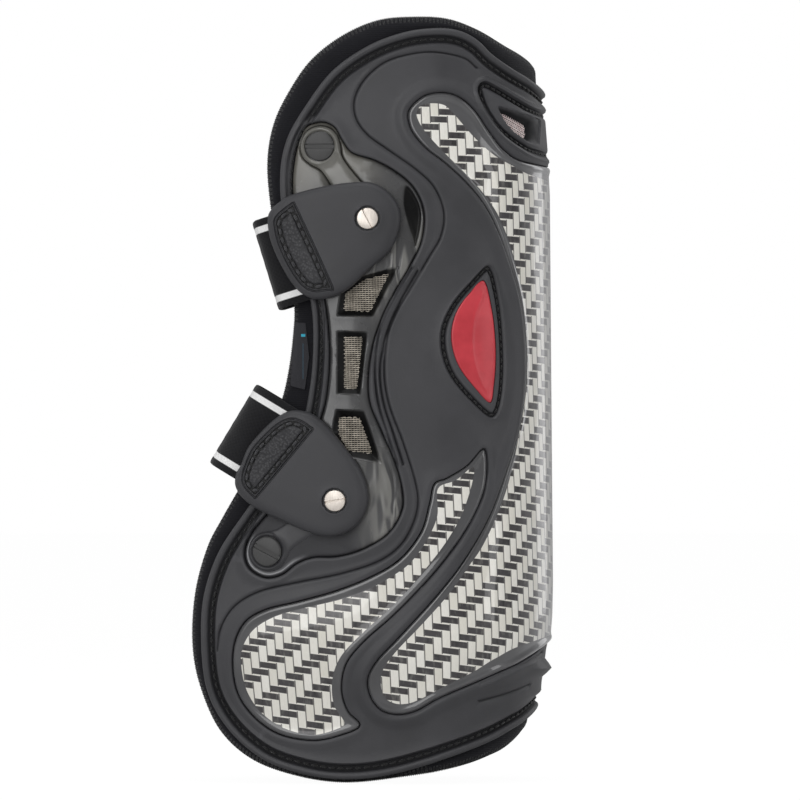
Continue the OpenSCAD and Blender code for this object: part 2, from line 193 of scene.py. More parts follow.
def round_edge(d, r):
    u = np.clip(r - d, 0, r)
    return -(r - np.sqrt(np.maximum(r * r - u * u, 0)))


# ---------------------------------------------------------------- meshing
def runs(c, ok, closed):
    """Split a curve into the runs of points that are ok."""
    if closed and ok.all():
        return [(c, True)]
    if closed:
        k = int(np.argmin(ok))
        c, ok = np.roll(c, -k, 0), np.roll(ok, -k)
    out, cur = [], []
    for p, g in zip(c, ok):
        if g:
            cur.append(p)
        elif cur:
            if len(cur) > 1:
                out.append((np.array(cur), False))
            cur = []
    if len(cur) > 1:
        out.append((np.array(cur), False))
    return out


def cdt(lines, pts, keep):
    P, E = [], []
    for c, closed in lines:
        i0, n = len(P), len(c)
        P.extend(c)
        E += [(i0 + i, i0 + i + 1) for i in range(n - 1)]
        if closed:
            E.append((i0 + n - 1, i0))
    P = np.array(P)
    if len(pts):
        P = np.vstack([P, pts])
    out = geometry.delaunay_2d_cdt([Vector(p) for p in P.tolist()], E, [], 0, 1e-5, False)
    V = np.array([(v.x, v.y) for v in out[0]])
    F = np.array(out[2])
    F = F[keep(V[F].mean(1))]
    a = np.cross(V[F[:, 1]] - V[F[:, 0]], V[F[:, 2]] - V[F[:, 0]])
    F = F[np.abs(a) > 1e-7]
    a = np.cross(V[F[:, 1]] - V[F[:, 0]], V[F[:, 2]] - V[F[:, 0]])
    F[a < 0] = F[a < 0][:, ::-1]
    used, inv = np.unique(F, return_inverse=True)
    return V[used], inv.reshape(F.shape)


def grid_points(lo, hi, g, near, r):
    """Hexagonal grid between lo and hi, left out within r of points near."""
    xs = np.arange(lo[0], hi[0], g)
    ys = np.arange(lo[1], hi[1], g * 0.866)
    X, Y = np.meshgrid(xs, ys)
    X = X + (np.arange(len(ys)) % 2)[:, None] * g * 0.5
    P = np.stack([X.ravel(), Y.ravel()], 1)
    c = r
    nx, ny = int((hi[0] - lo[0]) / c) + 6, int((hi[1] - lo[1]) / c) + 6
    occ = np.zeros((nx, ny), bool)
    q = np.floor((near - lo) / c).astype(int) + 2
    ok = (q >= 1).all(1) & (q[:, 0] < nx - 1) & (q[:, 1] < ny - 1)
    q = q[ok]
    occ[q[:, 0], q[:, 1]] = True
    big = occ.copy()
    for dx in (-1, 0, 1):
        for dy in (-1, 0, 1):
            big |= np.roll(np.roll(occ, dx, 0), dy, 1)
    k = np.clip(np.floor((P - lo) / c).astype(int) + 2, 0, [nx - 1, ny - 1])
    return P[~big[k[:, 0], k[:, 1]]]


def sheet(outer, holes, rows, g, top, bottom, centre=False, weld=False, gb=6.0, margin=0.12, r=None):
    """A closed curved plate. outer/holes are closed curves in (s, z); with centre the outer
    curve is open and is closed along the back centre line. Returns verts (s, z, o) and faces."""
    outer = np.asarray(outer)
    if centre:
        a, b = outer[-1], outer[0]
        n = max(4, int(abs(a[1] - b[1]) / 1.5))
        line = np.stack([np.full(n - 1, SC), np.linspace(a[1], b[1], n + 1)[1:-1]], 1)
        poly = np.vstack([outer, line])
    else:
        poly = outer
    poly = ccw(poly)
    loops = [poly] + [ccw(h) for h in holes]

    def keep(P):
        m = inside(P, poly)
        for h in loops[1:]:
            m &= ~inside(P, h)
        return m
    lines = [(c, True) for c in loops]
    for c, cl in rows:
        if len(c) < 2:
            continue
        d = dist(c, poly)
        ok = keep(c) & (d > margin)
        for h in loops[1:]:
            ok &= dist(c, h) > margin
        lines += runs(c, ok, cl)
    near = np.vstack([c for c, _ in lines])
    lo, hi = poly.min(0), poly.max(0)
    P = grid_points(lo, hi, g, near, r or g * 0.5)
    P = P[keep(P)]
    V, F = cdt(lines, P, keep)
    ot = top(V)
    # boundary edges, directed
    E = np.vstack([F[:, [0, 1]], F[:, [1, 2]], F[:, [2, 0]]])
    key = {}
    for a, b in E.tolist():
        key[(a, b)] = 1
    bd = [(a, b) for (a, b) in key if (b, a) not in key]
    bi = sorted({i for e in bd for i in e})
    idx = {v: i for i, v in enumerate(bi)}
    BP = V[bi]
    G = grid_points(lo, hi, gb, BP, gb * 0.35)
    G = G[keep(G)]
    Pb = np.vstack([BP, G])
    out = geometry.delaunay_2d_cdt([Vector(p) for p in Pb.tolist()], [(idx[a], idx[b]) for a, b in bd], [], 0, 1e-6, True)
    Vb = np.array([(v.x, v.y) for v in out[0]])
    Fb = np.array(out[2])
    Fb = Fb[keep(Vb[Fb].mean(1))]
    a = np.cross(Vb[Fb[:, 1]] - Vb[Fb[:, 0]], Vb[Fb[:, 2]] - Vb[Fb[:, 0]])
    Fb[a > 0] = Fb[a > 0][:, ::-1]
    ob = bottom(Vb)
    origin = {}
    for j, o in enumerate(out[3]):
        for i in o:
            origin[i] = j
    nt = len(V)
    if weld:
        mp = {origin[idx[v]]: v for v in bi if idx[v] in origin}
        remap = np.array([mp.get(j, nt + j) for j in range(len(Vb))])
        faces = F.tolist() + remap[Fb].tolist()
    else:
        faces = F.tolist() + (Fb + nt).tolist()
        for a, b in bd:
            if centre and V[a, 0] > SC - 1e-3 and V[b, 0] > SC - 1e-3:
                continue
            if idx[a] in origin and idx[b] in origin:
                ja, jb = origin[idx[a]] + nt, origin[idx[b]] + nt
                faces.append([b, a, ja, jb])
    verts = np.vstack([np.c_[V, ot], np.c_[Vb, ob]])
    return verts, faces


def to_mesh(name, verts, faces, mats, side=0, centre=False, extra=None, face_mat=None, flat=False, sharp=None):
    """verts are (s, z, o) in mm. side 0 lateral, 1 medial, centre: both, welded at the back."""
    X = surf(verts[:, 0], verts[:, 1], verts[:, 2])
    uv = verts[:, :2].copy()
    faces = [list(f) for f in faces]
    ex = {k: np.asarray(v) for k, v in (extra or {}).items()}
    if side == 1:
        X = X * [1, -1, 1]
        faces = [f[::-1] for f in faces]
    if centre:
        n = len(X)
        on = verts[:, 0] > SC - 1e-3
        mp = np.where(on, np.arange(n), np.arange(n) + n)
        X2 = X * [1, -1, 1]
        X[on, 1] = 0
        faces = faces + [[int(mp[i]) for i in f[::-1]] for f in faces]
        if face_mat is not None:
            face_mat = np.r_[face_mat, face_mat]
        X = np.vstack([X, X2])
        uv2 = uv.copy()
        uv2[:, 0] = 2 * SC - uv2[:, 0]
        uv = np.vstack([uv, uv2])
        ex = {k: np.r_[v, v] for k, v in ex.items()}
    return raw_mesh(name, X, faces, mats, uv, ex, face_mat, flat, sharp)


def raw_mesh(name, X, faces, mats, uv=None, ex=None, face_mat=None, flat=False, sharp=None):
    used = np.zeros(len(X), bool)
    fl = np.concatenate([np.asarray(f) for f in faces])
    used[fl] = True
    new = np.cumsum(used) - 1
    faces = [[int(new[i]) for i in f] for f in faces]
    X = np.asarray(X)[used]
    me = bpy.data.meshes.new(name)
    me.from_pydata((X * 0.001).tolist(), [], faces)
    for m in (mats if isinstance(mats, (list, tuple)) else [mats]):
        me.materials.append(m)
    li = np.empty(len(me.loops), np.int32)
    me.loops.foreach_get("vertex_index", li)
    if uv is not None:
        u = me.uv_layers.new(name="UVMap")
        u.data.foreach_set("uv", np.asarray(uv)[used][li].astype(np.float32).ravel())
    for k, v in (ex or {}).items():
        a = me.attributes.new(k, "FLOAT", "POINT")
        a.data.foreach_set("value", np.asarray(v)[used].astype(np.float32))
    if face_mat is not None:
        me.polygons.foreach_set("material_index", np.asarray(face_mat, np.int32))
    me.polygons.foreach_set("use_smooth", np.full(len(me.polygons), not flat))
    me.update()
    if sharp:
        me.set_sharp_from_angle(angle=math.radians(sharp))
    ob = bpy.data.objects.new(name, me)
    bpy.context.scene.collection.objects.link(ob)
    return ob


def join_raw(parts):
    """Join (X, faces, uv) lists."""
    Xs, Fs, Us, n = [], [], [], 0
    for X, F, U in parts:
        Xs.append(X)
        Us.append(U)
        Fs += [[i + n for i in f] for f in F]
        n += len(X)
    return np.vstack(Xs), Fs, np.vstack(Us)


# ======================================================================
# Materials
# ======================================================================
class Mat:
    def __init__(self, name):
        self.m = bpy.data.materials.new(name)
        self.m.use_nodes = True
        self.t = self.m.node_tree
        self.b = self.t.nodes["Principled BSDF"]

    def node(self, kind, **kw):
        n = self.t.nodes.new(kind)
        for k, v in kw.items():
            setattr(n, k, v)
        return n

    def put(self, sock, v):
        if isinstance(v, bpy.types.NodeSocket):
            self.t.links.new(v, sock)
        elif v is not None:
            if isinstance(v, (tuple, list)) and len(v) == 3 and sock.type == "RGBA":
                v = (*v, 1)
            sock.default_value = v

    def math(self, op, a, b=None, c=None, clamp=False):
        n = self.node("ShaderNodeMath", operation=op, use_clamp=clamp)
        self.put(n.inputs[0], a)
        self.put(n.inputs[1], b)
        self.put(n.inputs[2], c)
        return n.outputs[0]

    def mix(self, f, a, b, mode="MIX"):
        n = self.node("ShaderNodeMix", data_type="RGBA", blend_type=mode)
        self.put(n.inputs[0], f)
        self.put(n.inputs[6], a)
        self.put(n.inputs[7], b)
        return n.outputs[2]

    def ramp(self, x, a, b, lo=0.0, hi=1.0, smooth=True):
        n = self.node("ShaderNodeMapRange")
        n.interpolation_type = "SMOOTHSTEP" if smooth else "LINEAR"
        self.put(n.inputs[0], x)
        for i, v in enumerate((a, b, lo, hi)):
            self.put(n.inputs[i + 1], v)
        return n.outputs[0]

    def coord(self):
        return self.node("ShaderNodeTexCoord").outputs["Object"]

    def uv(self):
        s = self.node("ShaderNodeSeparateXYZ")
        self.t.links.new(self.node("ShaderNodeUVMap").outputs[0], s.inputs[0])
        return s.outputs[0], s.outputs[1]

    def attr(self, name):
        return self.node("ShaderNodeAttribute", attribute_name=name).outputs["Fac"]

    def noise(self, scale, detail=3, rough=0.5, vec=None, out=0):
        n = self.node("ShaderNodeTexNoise")
        self.put(n.inputs["Vector"], vec if vec is not None else self.coord())
        self.put(n.inputs["Scale"], scale)
        self.put(n.inputs["Detail"], detail)
        self.put(n.inputs["Roughness"], rough)
        return n.outputs[out]

    def voronoi(self, scale, vec=None, feature="F1"):
        n = self.node("ShaderNodeTexVoronoi", feature=feature)
        self.put(n.inputs["Vector"], vec if vec is not None else self.coord())
        self.put(n.inputs["Scale"], scale)
        return n.outputs["Distance"]

    def combine(self, x, y, z=0.0):
        n = self.node("ShaderNodeCombineXYZ")
        for i, v in enumerate((x, y, z)):
            self.put(n.inputs[i], v)
        return n.outputs[0]

    def bump(self, h, strength=1.0, dist_mm=0.1, normal=None):
        n = self.node("ShaderNodeBump")
        self.put(n.inputs["Height"], h)
        self.put(n.inputs["Strength"], strength)
        self.put(n.inputs["Distance"], dist_mm * 0.001)
        if normal is not None:
            self.put(n.inputs["Normal"], normal)
        return n.outputs[0]

    def set(self, **kw):
        names = {"color": "Base Color", "rough": "Roughness", "metal": "Metallic", "normal": "Normal",
                 "spec": "Specular IOR Level", "coat": "Coat Weight", "coat_rough": "Coat Roughness",
                 "sheen": "Sheen Weight", "sheen_rough": "Sheen Roughness", "coat_normal": "Coat Normal",
                 "aniso": "Anisotropic", "alpha": "Alpha", "trans": "Transmission Weight"}
        for k, v in kw.items():
            self.put(self.b.inputs[names[k]], v)
        return self.m


def lin(r, g, b):
    f = lambda c: c / 12.92 / 255 if c <= 10 else ((c / 255 + 0.055) / 1.055) ** 2.4
    return (f(r), f(g), f(b))


def mat_shell(name, base, grain=1.0, rough=0.5, spec=0.4):
    """Moulded rubber-like plastic: fine grain, paler on sharp edges, painted shade down in the grooves."""
    m = Mat(name)
    n1 = m.noise(55, 3, 0.6)
    n2 = m.noise(2600, 2, 0.5)
    n3 = m.noise(9, 2, 0.5)
    c = m.mix(m.ramp(n1, 0.3, 0.7), [v * 0.9 for v in base], [v * 1.1 for v in base])
    c = m.mix(m.ramp(n3, 0.35, 0.75, 0, 0.25), c, [v * 1.25 for v in base])
    # paler colour on sharp convex edges, found by pointiness
    g = m.node("ShaderNodeNewGeometry").outputs["Pointiness"]
    edge = m.ramp(g, 0.52, 0.6, 0, 0.35)
    c = m.mix(edge, c, [v * 1.9 for v in base])
    # painted shade: near-black down in the grooves and recesses, from the recess_shade attribute
    c = m.mix(m.math("MULTIPLY", m.attr("recess_shade"), 0.82), c, (0.003, 0.003, 0.0035))
    r = m.ramp(n1, 0.2, 0.8, rough - 0.05, rough + 0.08)
    bn = m.bump(n2, 0.35 * grain, 0.05)
    bn = m.bump(m.noise(700, 2, 0.5), 0.25 * grain, 0.06, bn)
    sp = m.ramp(m.attr("recess_shade"), 0, 1, spec, 0.1)
    return m.set(color=c, rough=r, normal=bn, spec=sp)


def mat_gloss(name, base, rough=0.1, wave=1.0, panel=True):
    """Wet-looking moulding: a painted pale warm reflection by the upper pin, painted light and dark reflection streaks
    over a rippled bump beside the tabs, matt at the foot, a painted highlight on the lower lip and painted shade in the
    recesses.
    """
    m = Mat(name)
    u, v = m.uv()
    nn = m.node("ShaderNodeTexNoise")
    m.put(nn.inputs["Vector"], m.coord())
    m.put(nn.inputs["Scale"], 34)
    m.put(nn.inputs["Detail"], 1.5)
    m.put(nn.inputs["Roughness"], 0.4)
    m.put(nn.inputs["Distortion"], 1.6)
    n1 = nn.outputs[0]
    n2 = m.noise(90, 3, 0.6)
    fine = m.noise(900, 2, 0.5)
    recess_shade = m.attr("recess_shade")
    c = m.mix(m.ramp(n1, 0.35, 0.7), [x * 0.88 for x in base], [x * 1.18 for x in base])
    bn = m.bump(n1, 0.6 * wave, 2.2)
    if panel:
        ns = m.node("ShaderNodeTexNoise")
        m.put(ns.inputs["Vector"], m.combine(m.math("MULTIPLY", u, 0.2), m.math("MULTIPLY", v, 0.045)))
        m.put(ns.inputs["Scale"], 1.0)
        m.put(ns.inputs["Detail"], 1.0)
        m.put(ns.inputs["Roughness"], 0.4)
        m.put(ns.inputs["Distortion"], 0.8)
        rip = ns.outputs[0]
        matt = m.math("MULTIPLY", m.ramp(v, -30, -38, 0, 1), m.ramp(u, -19, -28, 0, 1))
        # painted reflection: a pale warm patch on the panel by the upper pin
        top_reflection = m.math("MULTIPLY", m.ramp(v, 58, 76), m.ramp(u, -12, -27, 0, 1))
        side = m.math("MULTIPLY", m.ramp(u, -27, -14), m.math("MAXIMUM", m.math("MULTIPLY", m.ramp(v, 24, 34), m.ramp(v, 52, 62, 1, 0)), m.ramp(v, -12, -24, 0, 1)))
        c = m.mix(m.math("MULTIPLY", top_reflection, m.ramp(n2, 0.2, 0.6, 0.6, 1.0)), c, lin(104, 102, 95))
        # painted reflection: light and dark streaks beside the tabs, over the ripple bump
        c = m.mix(m.math("MULTIPLY", side, m.math("MULTIPLY", m.ramp(rip, 0.44, 0.52), m.ramp(rip, 0.56, 0.66, 0.75, 0.1))), c, lin(134, 133, 129))
        c = m.mix(m.math("MULTIPLY", side, m.ramp(rip, 0.4, 0.32, 0, 0.5)), c, lin(42, 42, 41))
        c = m.mix(matt, c, lin(58, 58, 61))
        # painted highlight along the panel's lower lip; the lip is also kept glossy
        lip = m.attr("lip")
        c = m.mix(m.math("MULTIPLY", lip, 0.8), c, lin(158, 159, 162))
        matt = m.math("MULTIPLY", matt, m.math("SUBTRACT", 1.0, lip))
        bn = m.bump(rip, m.math("MULTIPLY", side, 0.5), 1.6, bn)
    else:
        matt = 0.0
    # painted shade: near-black in the recesses and on bevel walls
    c = m.mix(m.math("MULTIPLY", recess_shade, 0.9), c, (0.002, 0.002, 0.002))
    r = m.ramp(n2, 0.3, 0.75, rough, rough + 0.08)
    r = m.math("ADD", r, m.math("MULTIPLY", matt, 0.4))
    bn = m.bump(fine, 0.03, 0.02, bn)
    coat = m.math("MULTIPLY", m.math("SUBTRACT", 1.0, m.math("MAXIMUM", matt, recess_shade)), 0.55)
    return m.set(color=c, rough=r, normal=bn, spec=m.ramp(recess_shade, 0, 1, 0.5, 0.12), coat=coat, coat_rough=0.16)


def mat_fabric(name, base, scale=0.9, rough=0.95, sheen=0.25, depth=0.25, lo=0.45, hi=1.35):
    """Fine knit: columns of small v-shaped loops, in mm along the UVs."""
    m = Mat(name)
    u, v = m.uv()
    w = m.math("MULTIPLY", u, 6.2832 / scale)
    a = m.math("SINE", w)
    zig = m.math("MULTIPLY", m.math("ABSOLUTE", a), 1.6)
    b = m.math("SINE", m.math("ADD", m.math("MULTIPLY", v, 6.2832 / (scale * 1.1)), zig))
    h = m.math("ADD", m.math("MULTIPLY", m.math("ABSOLUTE", a), 0.6), m.math("MULTIPLY", b, 0.4))
    n1 = m.noise(60, 3, 0.6)
    fuzz = m.noise(3500, 2, 0.7)
    c = m.mix(m.ramp(h, -0.2, 1.0), [x * lo for x in base], [x * hi for x in base])
    c = m.mix(m.ramp(n1, 0.35, 0.7, 0, 0.5), c, [x * 1.4 for x in base])
    bn = m.bump(h, 0.8, depth)
    bn = m.bump(fuzz, 0.4, 0.12, bn)
    return m.set(color=c, rough=rough, normal=bn, spec=0.2, sheen=sheen, sheen_rough=0.5)


def mat_weave(name):
    """Clear-coated twill: tall pale tows over short dark blocks, inside the pattern outline."""
    m = Mat(name)
    u, v = m.uv()
    pu, pv = 2.9, 2.5
    wob = m.math("MULTIPLY", m.math("SUBTRACT", m.noise(14, 1, 0.5), 0.5), 1.1)
    lean = m.math("MULTIPLY", m.ramp(v, 80, -90, 0.03, 0.13, smooth=False), u)
    c = m.math("DIVIDE", m.math("ADD", m.math("ADD", u, wob), m.math("MULTIPLY", v, 0.04)), pu)
    r = m.math("DIVIDE", m.math("MULTIPLY", m.math("ADD", m.math("ADD", v, wob), lean), -1.0), pv)
    ci, ri = m.math("FLOOR", c), m.math("FLOOR", r)
    fc, fr = m.math("SUBTRACT", c, ci), m.math("SUBTRACT", r, ri)
    k = m.math("FLOORED_MODULO", m.math("ADD", ci, ri), 4.0)
    is0 = m.math("LESS_THAN", k, 0.5)
    is01 = m.math("LESS_THAN", k, 1.5)
    bx = m.math("ADD", fc, m.math("SUBTRACT", 1.0, is0))
    inx = m.math("MULTIPLY", m.ramp(bx, 0.02, 0.08), m.ramp(bx, 1.9, 1.96, 1, 0))
    iny = m.math("MULTIPLY", m.ramp(fr, 0.08, 0.13), m.ramp(fr, 0.87, 0.92, 1, 0))
    dark = m.math("MULTIPLY", m.math("MULTIPLY", inx, iny), is01)
    # thin dark line between neighbouring pale tows
    ln = m.math("MAXIMUM", m.ramp(fc, 0.035, 0.085, 1, 0), m.ramp(fc, 0.915, 0.965))
    mid0 = m.math("MULTIPLY", is0, m.math("GREATER_THAN", fc, 0.5))
    mid1 = m.math("MULTIPLY", m.math("SUBTRACT", is01, is0), m.math("LESS_THAN", fc, 0.5))
    ln = m.math("MULTIPLY", ln, m.math("SUBTRACT", 1.0, m.math("MAXIMUM", mid0, mid1)))
    line = m.math("MULTIPLY", ln, 0.95)
    tow = m.noise(1.0, 2, 0.5, m.combine(m.math("MULTIPLY", ci, 7.3), m.math("MULTIPLY", m.math("FLOOR", m.math("DIVIDE", m.math("ADD", ci, ri), 4.0)), 3.1)))
    fibre = m.noise(1.0, 3, 0.6, m.combine(m.math("MULTIPLY", u, 9.0), m.math("MULTIPLY", v, 0.5)))
    fibre2 = m.noise(1.0, 3, 0.6, m.combine(m.math("MULTIPLY", u, 0.5), m.math("MULTIPLY", v, 9.0)))
    light = m.mix(m.ramp(tow, 0.3, 0.7), lin(240, 237, 226), lin(255, 253, 246))
    light = m.mix(m.ramp(fibre, 0.35, 0.75, 0, 0.35), light, lin(212, 207, 196))
    darkc = m.mix(m.ramp(fibre2, 0.3, 0.7), lin(36, 33, 36), lin(66, 62, 64))
    streak = m.noise(1.0, 2, 0.6, m.combine(m.math("MULTIPLY", u, 0.55), m.math("MULTIPLY", r, 0.37)))
    darkc = m.mix(m.ramp(streak, 0.52, 0.7, 0, 0.5), darkc, lin(118, 116, 112))
    darkc = m.mix(m.ramp(streak, 0.44, 0.32, 0, 0.8), darkc, lin(16, 15, 16))
    col = m.mix(line, light, lin(58, 55, 56))
    col = m.mix(dark, col, darkc)
    # pattern window; outside it the smoked border
    p = m.attr("pat")
    inp = m.ramp(p, -0.06, 0.06)
    border = m.mix(m.ramp(m.noise(45, 2), 0.3, 0.7), lin(70, 70, 72), lin(90, 90, 92))
    col = m.mix(inp, border, col)
    # painted reflection: a pale grey haze towards grazing angles
    lw = m.node("ShaderNodeLayerWeight")
    lw.inputs[0].default_value = 0.5
    col = m.mix(m.ramp(lw.outputs["Facing"], 0.28, 0.9, 0, 0.75), col, lin(184, 184, 187))
    hl = m.math("MULTIPLY", m.math("SINE", m.math("MULTIPLY", fc, 3.1416)), m.math("SUBTRACT", 1.0, dark))
    hd = m.math("MULTIPLY", m.math("SINE", m.math("MULTIPLY", fr, 3.1416)), dark)
    h = m.math("MULTIPLY", m.math("ADD", hl, m.math("MULTIPLY", hd, 0.6)), inp)
    graze = m.ramp(lw.outputs["Facing"], 0.6, 0.85, 1, 0)
    bn = m.bump(h, m.math("MULTIPLY", graze, 0.5), 0.25)
    rough = m.ramp(inp, 0, 1, 0.25, 0.42)
    cn = m.bump(m.noise(60, 2, 0.4), m.math("MULTIPLY", graze, 0.25), 1.0)
    return m.set(color=col, rough=rough, normal=bn, spec=0.5, coat=1.0, coat_rough=0.05, coat_normal=cn)


def mat_elastic(name, w=30.0):
    """Ribbed elastic. UV: u along in mm, v across in mm from the centre."""
    m = Mat(name)
    u, v = m.uv()
    av = m.math("ABSOLUTE", v)
    st = m.math("MULTIPLY", m.ramp(av, w / 2 - 4.6, w / 2 - 4.3), m.ramp(av, w / 2 - 2.5, w / 2 - 2.2, 1, 0))
    rib = m.math("SINE", m.math("MULTIPLY", v, 6.2832 / 0.72))
    wf = m.math("SINE", m.math("MULTIPLY", u, 6.2832 / 0.9))
    alt = m.math("SINE", m.math("ADD", m.math("MULTIPLY", u, 6.2832 / 1.8), m.math("MULTIPLY", m.math("FLOOR", m.math("DIVIDE", v, 0.72)), 3.1416)))
    h = m.math("ADD", m.math("MULTIPLY", m.math("ABSOLUTE", rib), 0.75), m.math("MULTIPLY", alt, 0.2))
    n1 = m.noise(70, 3)
    blk = m.mix(m.ramp(h, -0.2, 0.9), (0.005, 0.005, 0.006), (0.015, 0.015, 0.017))
    blk = m.mix(m.ramp(n1, 0.4, 0.7, 0, 0.4), blk, (0.02, 0.02, 0.022))
    wht = m.mix(m.ramp(h, -0.2, 0.9), lin(242, 242, 241), lin(255, 255, 255))
    c = m.mix(st, blk, wht)
    bn = m.bump(h, m.ramp(st, 0, 1, 0.6, 0.25), 0.2)
    bn = m.bump(m.noise(3000, 2, 0.7), 0.3, 0.08, bn)
    return m.set(color=c, rough=0.85, normal=bn, spec=0.2, sheen=0.08)


def mat_thread(name, base):
    m = Mat(name)
    u, v = m.uv()
    tw = m.math("SINE", m.math("ADD", m.math("MULTIPLY", u, 6.2832 / 0.55), m.math("MULTIPLY", v, 6.2832)))
    c = m.mix(m.ramp(tw, -0.6, 0.8), [x * 0.5 for x in base], [x * 1.5 for x in base])
    return m.set(color=c, rough=0.55, normal=m.bump(tw, 0.8, 0.12), spec=0.5, sheen=0.2)


def mat_metal(name, base, rough=0.28):
    m = Mat(name)
    co = m.node("ShaderNodeMapping")
    m.t.links.new(m.coord(), co.inputs[0])
    co.inputs["Scale"].default_value = (4.0, 4.0, 0.25)
    n1 = m.noise(900, 4, 0.7, co.outputs[0])
    n2 = m.noise(150, 2)
    c = m.mix(m.ramp(n1, 0.3, 0.7), [x * 0.86 for x in base], base)
    r = m.ramp(n2, 0.3, 0.7, rough - 0.05, rough + 0.12)
    return m.set(color=c, metal=1.0, rough=r, normal=m.bump(n1, 0.12, 0.05), aniso=0.4)


SHELL = mat_shell("shell_tpu", lin(64, 64, 67), 1.0, 0.46, 0.45)
RUBBER = mat_shell("tab_rubber", lin(59, 59, 62), 0.8, 0.46, 0.42)


def mat_patch():
    """Pebbled patch: small rounded cells, painted shade in the sewn channel."""
    m = Mat("patch_rubber")
    cell = m.voronoi(1250)
    n1 = m.noise(70, 3)
    c = m.mix(m.ramp(cell, 0.1, 0.7), lin(62, 62, 65), lin(40, 40, 43))
    c = m.mix(m.ramp(n1, 0.35, 0.7, 0, 0.3), c, lin(66, 66, 69))
    # painted shade: near-black in the sewn channel
    c = m.mix(m.math("MULTIPLY", m.attr("recess_shade"), 0.95), c, (0.002, 0.002, 0.0025))
    h = m.math("SUBTRACT", 1.0, m.math("POWER", cell, 1.5))
    return m.set(color=c, rough=m.ramp(cell, 0, 0.7, 0.38, 0.6), normal=m.bump(h, 0.55, 0.3), spec=0.45)


PATCH = mat_patch()
GLOSS = mat_gloss("panel_gloss", lin(67, 67, 68), 0.22)
# painted reflection: the upper arm takes the pale warm colour of the painted reflection by the upper pin
ARM = mat_gloss("arm_gloss", lin(104, 103, 98), 0.16, 0.5, False)
ARM_MATT = mat_shell("arm_matt", lin(58, 58, 61), 0.6, 0.36, 0.5)
PIN = mat_shell("pin_plastic", lin(62, 62, 62), 0.7, 0.42, 0.45)
WEAVE = mat_weave("guard_weave")
LINING = mat_fabric("lining_knit", lin(30, 30, 34), 0.62, 0.95, 0.1, 0.1, 0.82, 1.15)
INNER = mat_fabric("lining_inner_knit", lin(40, 40, 45), 1.5, 0.95, 0.2, 0.25, 0.6, 1.3)
ELASTIC = mat_elastic("elastic")
THREAD = mat_thread("thread_black", lin(15, 15, 17))
THREAD_WAXED = mat_thread("thread_waxed", lin(56, 56, 60))
EDGE_THREAD = mat_thread("edge_thread", lin(22, 22, 26))
STEEL = mat_metal("screw_steel", (0.86, 0.79, 0.72), 0.42)
STUD = mat_metal("stud_steel", (0.62, 0.62, 0.63), 0.25)


def mat_red():
    m = Mat("badge_red")
    n1 = m.noise(120, 3)
    c = m.mix(m.ramp(n1, 0.3, 0.7), lin(197, 48, 60), lin(214, 60, 72))
    return m.set(color=c, rough=0.38, normal=m.bump(m.noise(1500, 2), 0.15, 0.05), coat=0.25, coat_rough=0.3)


def mat_mesh(name, a, b):
    m = Mat(name)
    n1 = m.noise(400, 3)
    c = m.mix(m.ramp(n1, 0.3, 0.7), a, b)
    return m.set(color=c, rough=0.4, metal=0.15, normal=m.bump(m.noise(4000, 2), 0.3, 0.05))


def mat_label():
    m = Mat("woven_label")
    u, v = m.uv()
    h = m.math("MULTIPLY", m.math("SINE", m.math("MULTIPLY", u, 12.0)), m.math("SINE", m.math("MULTIPLY", v, 12.0)))
    # plain pale-blue woven band near the top of the label
    band = m.math("MULTIPLY", m.ramp(v, 20.6, 20.7), m.ramp(v, 21.5, 21.6, 1, 0))
    band = m.math("MULTIPLY", band, m.math("MULTIPLY", m.ramp(u, -43.4, -43.3), m.ramp(u, -42.0, -41.9, 1, 0)))
    line = m.math("MULTIPLY", m.ramp(v, 6.8, 7.0), m.ramp(v, 18.4, 18.6, 1, 0))
    line = m.math("MULTIPLY", line, m.math("MULTIPLY", m.ramp(u, -42.9, -42.8), m.ramp(u, -42.6, -42.5, 1, 0)))
    c = m.mix(m.ramp(h, -0.5, 0.5), (0.012, 0.012, 0.015), (0.04, 0.04, 0.048))
    c = m.mix(m.math("MULTIPLY", band, 0.9), c, lin(60, 186, 214))
    c = m.mix(m.math("MULTIPLY", line, 0.5), c, lin(60, 96, 116))
    return m.set(color=c, rough=0.8, normal=m.bump(h, 0.5, 0.1))


def mat_foam():
    m = Mat("pad_foam")
    n = m.voronoi(900)
    c = m.mix(m.ramp(n, 0, 0.6), (0.62, 0.5, 0.12), (0.8, 0.68, 0.22))
    return m.set(color=c, rough=0.9, normal=m.bump(n, 0.5, 0.2))


RED, LABEL, FOAM = mat_red(), mat_label(), mat_foam()
MESH = mat_mesh("window_mesh", lin(150, 143, 131), lin(206, 197, 182))
MESH_VENT = mat_mesh("vent_mesh", lin(236, 216, 215), lin(255, 241, 239))

# ======================================================================
# Side outlines, (x, z) in mm
# ======================================================================
lining_c = [(29, 115), (17, 121), (6, 124.4), (-5.5, 125.1), (-18, 124), (-30, 119), (-40.5, 111), (-48, 100.5),
            (-53, 90), (-55, 78), (-54, 64), (-51.5, 52), (-48, 41), (-46, 30.5), (-46.5, 20), (-48, 9), (-50.5, -1),
            (-55.5, -13), (-63, -26.5), (-70, -38.5), (-75, -48), (-79, -62), (-80.2, -77.5), (-78, -92.5),
            (-71.5, -107.5), (-60.5, -117.5), (-45, -123), (-28.5, -125), (-9, -123), (11, -119.5), (24, -115.5)]
shell_c = [(30, 106.5), (21, 112), (15, 117.5), (9, 120.5), (1.5, 121.3), (-9, 120), (-21, 115.5), (-32.5, 107.5),
           (-41, 96.5), (-47.5, 85), (-49.7, 72), (-48, 56.5), (-43, 42), (-39.5, 31), (-38.8, 18), (-40, 3.5),
           (-43.5, -10), (-53, -25.5), (-61.5, -37), (-70, -50), (-74.7, -64), (-75.6, -78), (-73.7, -95),
           (-67, -107.5), (-55.5, -117.5), (-41.5, -122.5), (-28, -124), (-13.5, -122.4), (5, -117), (18.5, -112),
           (28, -107)]
